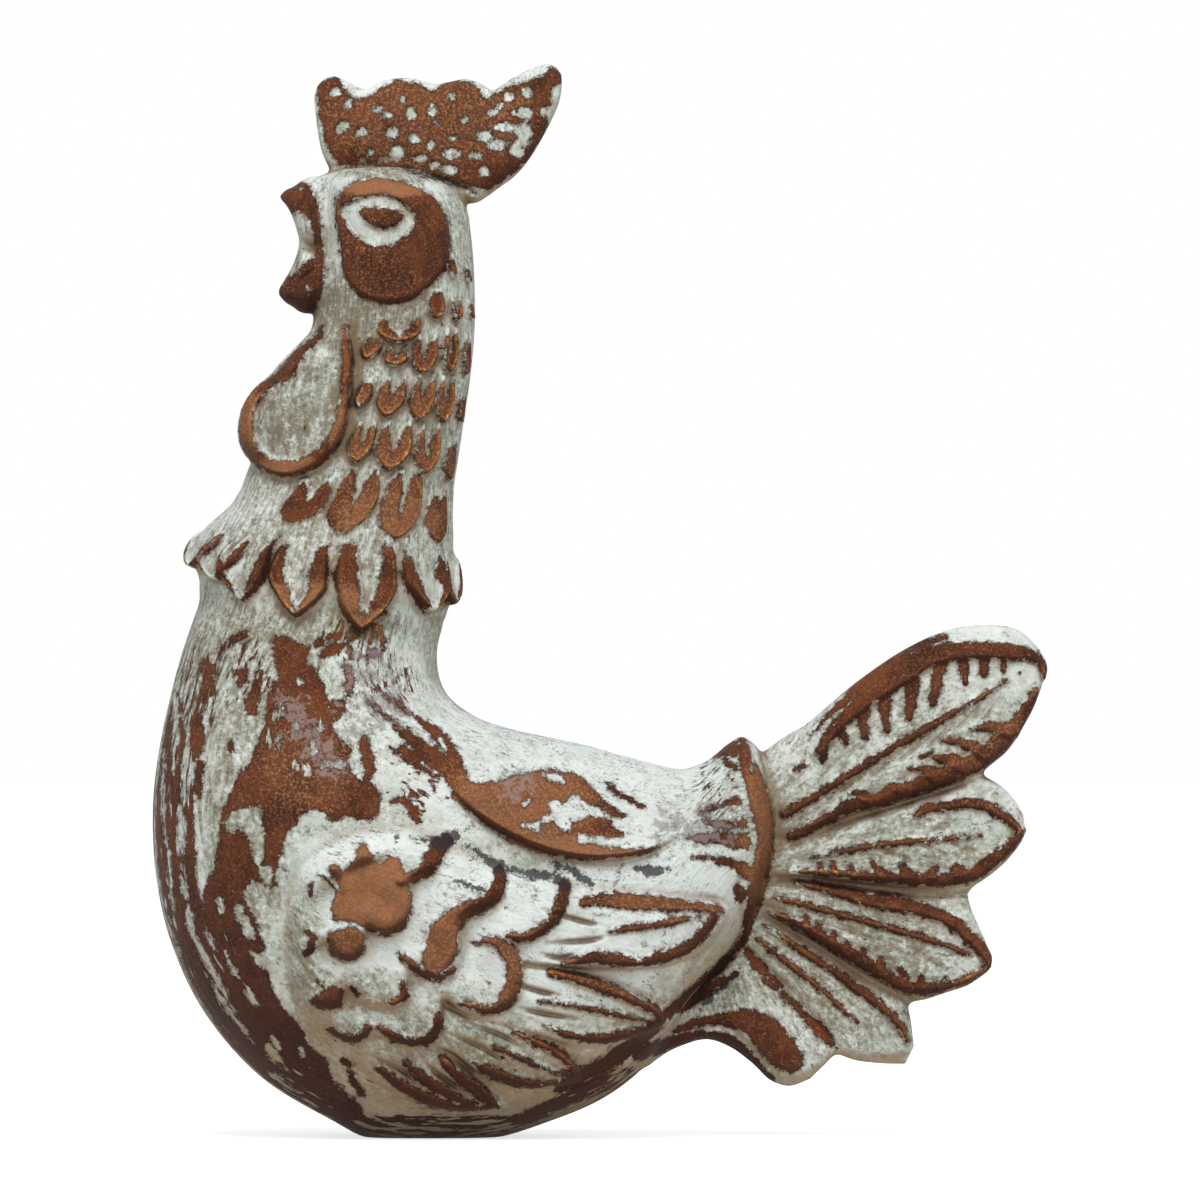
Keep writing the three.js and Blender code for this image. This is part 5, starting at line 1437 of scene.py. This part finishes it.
# Painted shade with tan dirt in broad hollows
VALLEY_SHADE_AND_DIRT = srgb(146, 124, 96)
# Painted shade with tan dirt in small hollows
WASH_SUNK_SHADE_AND_DIRT = srgb(122, 100, 76)
# Dark painted shade in the deepest crevices
WASH_CREVICE_SHADE = srgb(58, 42, 31)

# The bare clay, in the same way, with its painted highlights and painted shade, and the stain over both
CLAY_DARK = srgb(58, 29, 19)
CLAY_LIGHT = srgb(90, 48, 28)
WARM = srgb(122, 66, 34)
GRAIN = srgb(138, 86, 52)
PIT = srgb(42, 20, 13)
# Pale dusty clay, and painted sheen on the listed faces the light reaches
DUST_AND_SHEEN_TAN = srgb(172, 120, 82)
# A painted coppery highlight on convex edges
COPPER_HIGHLIGHT = srgb(190, 124, 66)
GLINT = srgb(226, 172, 110)
CLAY_HAZE = srgb(150, 136, 132)
# A painted shadow with dirt just inside the wash's edge
CLAY_RIM_SHADOW_AND_DIRT = srgb(42, 22, 15)
# Painted shade on the clay where it faces down
CLAY_UNDERSIDE_SHADE = srgb(44, 20, 14)
# Painted shade on the clay in hollows
CLAY_HOLLOW_SHADE = srgb(34, 18, 11)
STAIN = srgb(46, 40, 46)

# Both surfaces: how rough they are, how much they shine, and how the brush strokes are drawn out
WASH_ROUGHNESS = 0.85
CLAY_ROUGHNESS = 0.65
SHINE = 0.12
BUMP_METRES = 0.0004
WASH_THICKNESS = -0.8
BRUSH_STRETCH = 0.42


class Graph:
    """Short names for a material's nodes."""

    def __init__(self, tree):
        self.tree = tree

    def put(self, value, socket):
        if isinstance(value, bpy.types.NodeSocket):
            self.tree.links.new(value, socket)
        else:
            socket.default_value = value

    def node(self, kind, *values, **settings):
        """A new node with its settings and its first inputs."""
        node = self.tree.nodes.new(kind)
        for name, value in settings.items():
            setattr(node, name, value)
        for value, socket in zip(values, node.inputs):
            self.put(value, socket)
        return node

    def math(self, operation, *values):
        return self.node("ShaderNodeMath", *values, operation=operation).outputs[0]

    def add(self, a, b):
        return self.math("ADD", a, b)

    def times(self, a, b):
        return self.math("MULTIPLY", a, b)

    def most(self, a, b):
        return self.math("MAXIMUM", a, b)

    def ramp(self, value, low, high, start=0.0, end=1.0):
        values = (value, low, high, start, end)
        return self.node("ShaderNodeMapRange", *values, interpolation_type="SMOOTHSTEP").outputs[0]

    def attribute(self, name):
        return self.node("ShaderNodeAttribute", attribute_name=name).outputs["Fac"]

    def noise(self, where, scale, detail=4.0, roughness=0.55, distortion=0.0):
        node = self.node("ShaderNodeTexNoise", where)
        node.inputs["Scale"].default_value = scale
        node.inputs["Detail"].default_value = detail
        node.inputs["Roughness"].default_value = roughness
        node.inputs["Distortion"].default_value = distortion
        return node.outputs["Fac"]

    def patches(self, where, scale, low, high, **noise):
        """Soft patches where the noise is past a level."""
        return self.ramp(self.noise(where, scale, **noise), low, high)

    def mix(self, share, a, b):
        node = self.node("ShaderNodeMix", share, data_type="RGBA")
        self.put(a, node.inputs[6])
        self.put(b, node.inputs[7])
        return node.outputs[2]

    def coats(self, colour, rows):
        """Lays coats of (tone, strength, share) over a colour, one after another."""
        for tone, strength, share in rows:
            colour = self.mix(self.times(share, strength), colour, tone)
        return colour

    def set(self, node, **values):
        """Sets inputs of a node by their names, with _ for a space."""
        for name, value in values.items():
            self.put(value, node.inputs[name.replace("_", " ")])


def bare_share(g, place, brush):
    """How far the brown clay shows, in pixels inside its edge: above 0 it does."""
    ragged = g.noise(place, 0.5, detail=6, roughness=0.66)
    fine = g.noise(place, 2.2, detail=4, roughness=0.7)
    wander = g.add(g.times(g.add(ragged, -0.5), 14.0), g.times(g.add(fine, -0.5), 8.0))
    worn = g.add(g.attribute("worn"), wander)
    share = g.attribute("share")
    streaks = g.noise(brush, 0.5, detail=7, roughness=0.7, distortion=0.5)
    chance = g.add(streaks, g.add(g.times(share, 0.5), -0.74))
    chips = g.add(g.noise(brush, 0.7, detail=4, roughness=0.6), -0.69)
    worn = g.most(g.most(worn, g.times(chance, 90.0)), g.times(chips, 70.0))
    flecks = g.noise(brush, 0.42, detail=5, roughness=0.6)
    left = g.add(g.add(g.times(share, -0.26), 0.72), g.times(flecks, -1.0))
    worn = g.math("MINIMUM", worn, g.times(left, 90.0))
    rubbed = g.add(g.times(g.add(g.attribute("edge"), -0.66), 14.0), g.times(g.add(ragged, -0.62), 30.0))
    return g.most(worn, rubbed)


def haze_share(g, place):
    """Small grey blotches, closer together where the wash is thin."""
    thick = g.ramp(g.attribute("haze"), -10.0, 14.0)
    blotch = g.add(g.noise(place, 0.55, detail=7, roughness=0.72, distortion=0.5), g.times(thick, 0.13))
    return g.times(g.ramp(blotch, 0.59, 0.64), g.ramp(thick, 0.0, 0.2))


def hairlines(g, brush):
    """Thin scratches and cracks along the brush strokes."""
    lines = g.noise(brush, 0.7, detail=5, roughness=0.7, distortion=0.9)
    thin = g.ramp(g.math("ABSOLUTE", g.add(lines, -0.5)), 0.014, 0.004)
    return g.times(thin, g.patches(brush, 0.3, 0.48, 0.56, detail=3))


def wash_colour(g, place, brush, up, worn):
    """The pale wash: mottled and scratched, with a cool painted highlight where it faces up and on its
    edges, thin at its edges, and painted shade where it faces down and, with tan soiling, where it is
    sunk.
    """
    dirt, edge, crowd, hollow = (g.attribute(name) for name in ("dirt", "edge", "crowd", "hollow"))
    cloud = g.patches(place, 0.16, 0.4, 0.6, detail=4, roughness=0.6)
    rough = g.patches(place, 0.22, 0.45, 0.57, detail=4, roughness=0.6)
    dab = g.patches(brush, 0.4, 0.5, 0.6, detail=7, roughness=0.66, distortion=0.6)
    blot = g.patches(brush, 0.9, 0.54, 0.6, detail=6, roughness=0.72, distortion=0.4)
    speck = g.patches(place, 2.0, 0.58, 0.63, detail=4, roughness=0.7)
    thin = g.patches(place, 0.8, 0.42, 0.56, detail=4, roughness=0.7)
    smudge = g.noise(place, 1.0, detail=6, roughness=0.7)
    smear = g.noise(brush, 0.5, detail=6, roughness=0.7)
    # Noise grime, raised where the dirt field also marks painted shade
    grime_and_shade = g.add(g.times(g.add(smudge, smear), 0.5), g.times(dirt, 0.18))
    return g.coats(g.mix(cloud, WASH_DULL, WASH_PALE), [
        (MINT, 0.5, g.patches(place, 0.09, 0.5, 0.58, detail=3)),
        # painted highlight where the wash faces up
        (WASH_TOP_HIGHLIGHT, 0.7, g.ramp(up, 0.1, 0.9)),
        (FRESH, 0.7, g.ramp(dirt, -0.1, -0.7)),
        # olive dabs, stronger where the dirt field also holds painted shade
        (OLIVE_DAB, g.ramp(dirt, -0.4, 0.6, 0.2, 0.75), dab),
        (BROWN_BLOT, 0.7, g.times(blot, rough)),
        (CHALK, 0.45, g.patches(place, 0.5, 0.46, 0.4, detail=6, roughness=0.66, distortion=0.3)),
        (WASH_HAZE, 0.55, haze_share(g, place)),
        (SPECK, 0.7, g.times(speck, rough)),
        (CRACK, 0.6, g.times(hairlines(g, brush), rough)),
        (THIN_WASH, 0.65, g.times(g.ramp(worn, -4.5, -0.5), thin)),
        # tan grime, with painted shade from the dirt field
        (GRIME_AND_SHADE, 0.85, g.ramp(grime_and_shade, 0.49, 0.73)),
        # painted shade where the wash faces down
        (WASH_UNDERSIDE_SHADE, 0.75, g.ramp(up, -0.1, -0.65)),
        # painted highlight on convex edges
        (WASH_EDGE_HIGHLIGHT, 0.55, g.ramp(edge, 0.08, 0.4)),
        # painted shade with tan dirt in broad hollows
        (VALLEY_SHADE_AND_DIRT, 0.6, g.ramp(crowd, 0.52, 0.66)),
        # painted shade with tan dirt in small hollows
        (WASH_SUNK_SHADE_AND_DIRT, 0.72, g.ramp(hollow, 0.05, 0.36)),
        # dark painted shade in deep crevices
        (WASH_CREVICE_SHADE, 0.75, g.ramp(hollow, 0.32, 0.7)),
    ])


def clay_colour(g, place, brush, up, worn):
    """The bare clay: chestnut, with painted shade where it is sunk and where it faces down, a painted
    shadow with soiling along the wash's edge, and painted coppery highlights and glints on its high
    points.
    """
    edge, hollow, pale = (g.attribute(name) for name in ("edge", "hollow", "dust"))
    cloud = g.patches(place, 0.13, 0.42, 0.58, detail=6, roughness=0.65)
    # Dust on the clay, and painted sheen from the listed pale patches
    dust = g.add(g.noise(place, 1.8, detail=5, roughness=0.7), g.times(pale, 0.15))
    dust = g.most(g.ramp(dust, 0.53, 0.72), g.times(g.ramp(pale, 0.3, 1.2), 0.75))
    pit = g.patches(place, 2.4, 0.46, 0.38, detail=4, roughness=0.75)
    highlight_patches = g.patches(place, 0.5, 0.4, 0.58, detail=6, roughness=0.7)
    glint = g.patches(place, 1.6, 0.53, 0.6, detail=4, roughness=0.7)
    return g.coats(g.mix(cloud, CLAY_DARK, CLAY_LIGHT), [
        (WARM, 0.35, g.patches(brush, 0.2, 0.5, 0.58, detail=7, roughness=0.7)),
        (GRAIN, 0.4, g.patches(place, 2.8, 0.48, 0.62, detail=4, roughness=0.7)),
        (PIT, g.ramp(pale, 0.2, 1.0, 0.5, 0.1), pit),
        # pale dust and painted sheen
        (DUST_AND_SHEEN_TAN, 0.75, dust),
        # painted coppery highlight on convex edges
        (COPPER_HIGHLIGHT, 0.6, g.times(g.ramp(edge, 0.1, 0.45), highlight_patches)),
        (GLINT, 0.7, g.times(g.ramp(edge, 0.2, 0.5), glint)),
        (CLAY_HAZE, 0.6, haze_share(g, place)),
        # painted shadow with dirt just inside the wash's edge
        (CLAY_RIM_SHADOW_AND_DIRT, 0.6, g.ramp(worn, 2.4, 0.2)),
        # painted shade where the clay faces down
        (CLAY_UNDERSIDE_SHADE, 0.8, g.ramp(up, 0.1, -0.6)),
        # painted shade in hollows
        (CLAY_HOLLOW_SHADE, 0.85, g.ramp(hollow, 0.12, 0.45)),
    ])


def glazed(name):
    """The wash over the brown clay. Patterns are laid out in millimetres."""
    material = bpy.data.materials.new(name)
    material.use_nodes = True
    g = Graph(material.node_tree)
    coordinates = g.node("ShaderNodeTexCoord").outputs
    millimetres = (1000, 1000, 1000)
    scaled = g.node("ShaderNodeVectorMath", coordinates["Object"], millimetres, operation="MULTIPLY")
    place = scaled.outputs[0]
    up = g.node("ShaderNodeSeparateXYZ", coordinates["Normal"]).outputs[2]
    along = g.times(g.attribute("along"), BRUSH_STRETCH)
    brush = g.node("ShaderNodeCombineXYZ", g.attribute("across"), along).outputs[0]
    worn = bare_share(g, place, brush)
    bare = g.ramp(worn, -0.4, 0.5)
    colour = g.mix(bare, wash_colour(g, place, brush, up, worn), clay_colour(g, place, brush, up, worn))
    ragged = g.times(g.add(g.noise(place, 0.9, detail=6, roughness=0.75), -0.5), 22.0)
    stained = g.ramp(g.add(g.attribute("stain"), ragged), -1.0, 1.5)
    colour = g.coats(colour, [(STAIN, 0.88, stained)])
    lumps = g.times(g.noise(place, 0.9, detail=6, roughness=0.7), 1.7)
    lumps = g.add(lumps, g.times(g.noise(brush, 1.0, detail=5), 1.2))
    height = g.add(g.times(g.ramp(worn, -1.2, 0.6), WASH_THICKNESS), lumps)
    bump = g.node("ShaderNodeBump")
    g.set(bump, Strength=1.0, Distance=BUMP_METRES, Height=height)
    shader = material.node_tree.nodes["Principled BSDF"]
    roughness = g.ramp(bare, 0, 1, WASH_ROUGHNESS, CLAY_ROUGHNESS)
    g.set(shader, Base_Color=colour, Roughness=roughness, Specular_IOR_Level=SHINE, Normal=bump.outputs[0])
    return material


# The stage: floor, light and camera, in metres
VIEW_WIDTH = 0.24
CAMERA_DISTANCE = 3.0
SENSOR = 36.0
FLOOR_HALF = 6.0
FLOOR_TONE = (0.9, 0.9, 0.9, 1)
FLOOR_GLOW = 0.67
WORLD_LIGHT = 0.3
LIGHT_AIM = (0.03, 0, 0.1)
WHITE = (1, 1, 1, 1)


def seen_plainly(g, *rays):
    """1 for a ray from the camera, and for the other kinds named."""
    path = g.node("ShaderNodeLightPath").outputs
    seen = path["Is Camera Ray"]
    for ray in rays:
        seen = g.most(seen, path[ray])
    return seen


def pale_floor():
    material = bpy.data.materials.new("pale_floor")
    material.use_nodes = True
    g = Graph(material.node_tree)
    glow = g.times(seen_plainly(g, "Is Glossy Ray"), FLOOR_GLOW)
    shader = material.node_tree.nodes["Principled BSDF"]
    g.set(shader, Base_Color=FLOOR_TONE, Roughness=0.9, Emission_Color=WHITE, Emission_Strength=glow)
    far = FLOOR_HALF
    mesh = bpy.data.meshes.new("floor")
    mesh.from_pydata([(-far, -far, 0), (far, -far, 0), (far, far, 0), (-far, far, 0)], [], [(0, 1, 2, 3)])
    mesh.materials.append(material)
    floor = bpy.data.objects.new("floor", mesh)
    bpy.context.scene.collection.objects.link(floor)


def studio_world():
    world = bpy.data.worlds.new("studio")
    world.use_nodes = True
    bpy.context.scene.world = world
    g = Graph(world.node_tree)
    seen = seen_plainly(g, "Is Glossy Ray", "Is Transmission Ray")
    g.set(world.node_tree.nodes["Background"], Color=WHITE, Strength=g.ramp(seen, 0, 1, WORLD_LIGHT, 1.0))


def soft_light(name, place, size, power):
    lamp = bpy.data.lights.new(name, "AREA")
    lamp.size = size
    lamp.energy = power
    light = bpy.data.objects.new(name, lamp)
    light.location = place
    light.rotation_euler = (Vector(LIGHT_AIM) - Vector(place)).to_track_quat("-Z", "Y").to_euler()
    bpy.context.scene.collection.objects.link(light)


def side_camera():
    lens = bpy.data.cameras.new("camera")
    lens.sensor_width = SENSOR
    lens.lens = SENSOR * CAMERA_DISTANCE / VIEW_WIDTH
    lens.clip_start = 0.1
    lens.clip_end = 30
    camera = bpy.data.objects.new("camera", lens)
    camera.location = (to_x(VIEW_MIDDLE) / 1000, -CAMERA_DISTANCE, to_z(VIEW_MIDDLE) / 1000)
    camera.rotation_euler = (math.radians(90), 0, 0)
    bpy.context.scene.collection.objects.link(camera)
    bpy.context.scene.camera = camera


def build_stage():
    pale_floor()
    studio_world()
    soft_light("key", place=(-0.1, -0.7, 1.5), size=0.6, power=22)
    soft_light("fill", place=(0.5, -1.6, 0.6), size=1.2, power=8)
    side_camera()
    bpy.context.scene.view_settings.view_transform = "Standard"


build_bird()
build_stage()
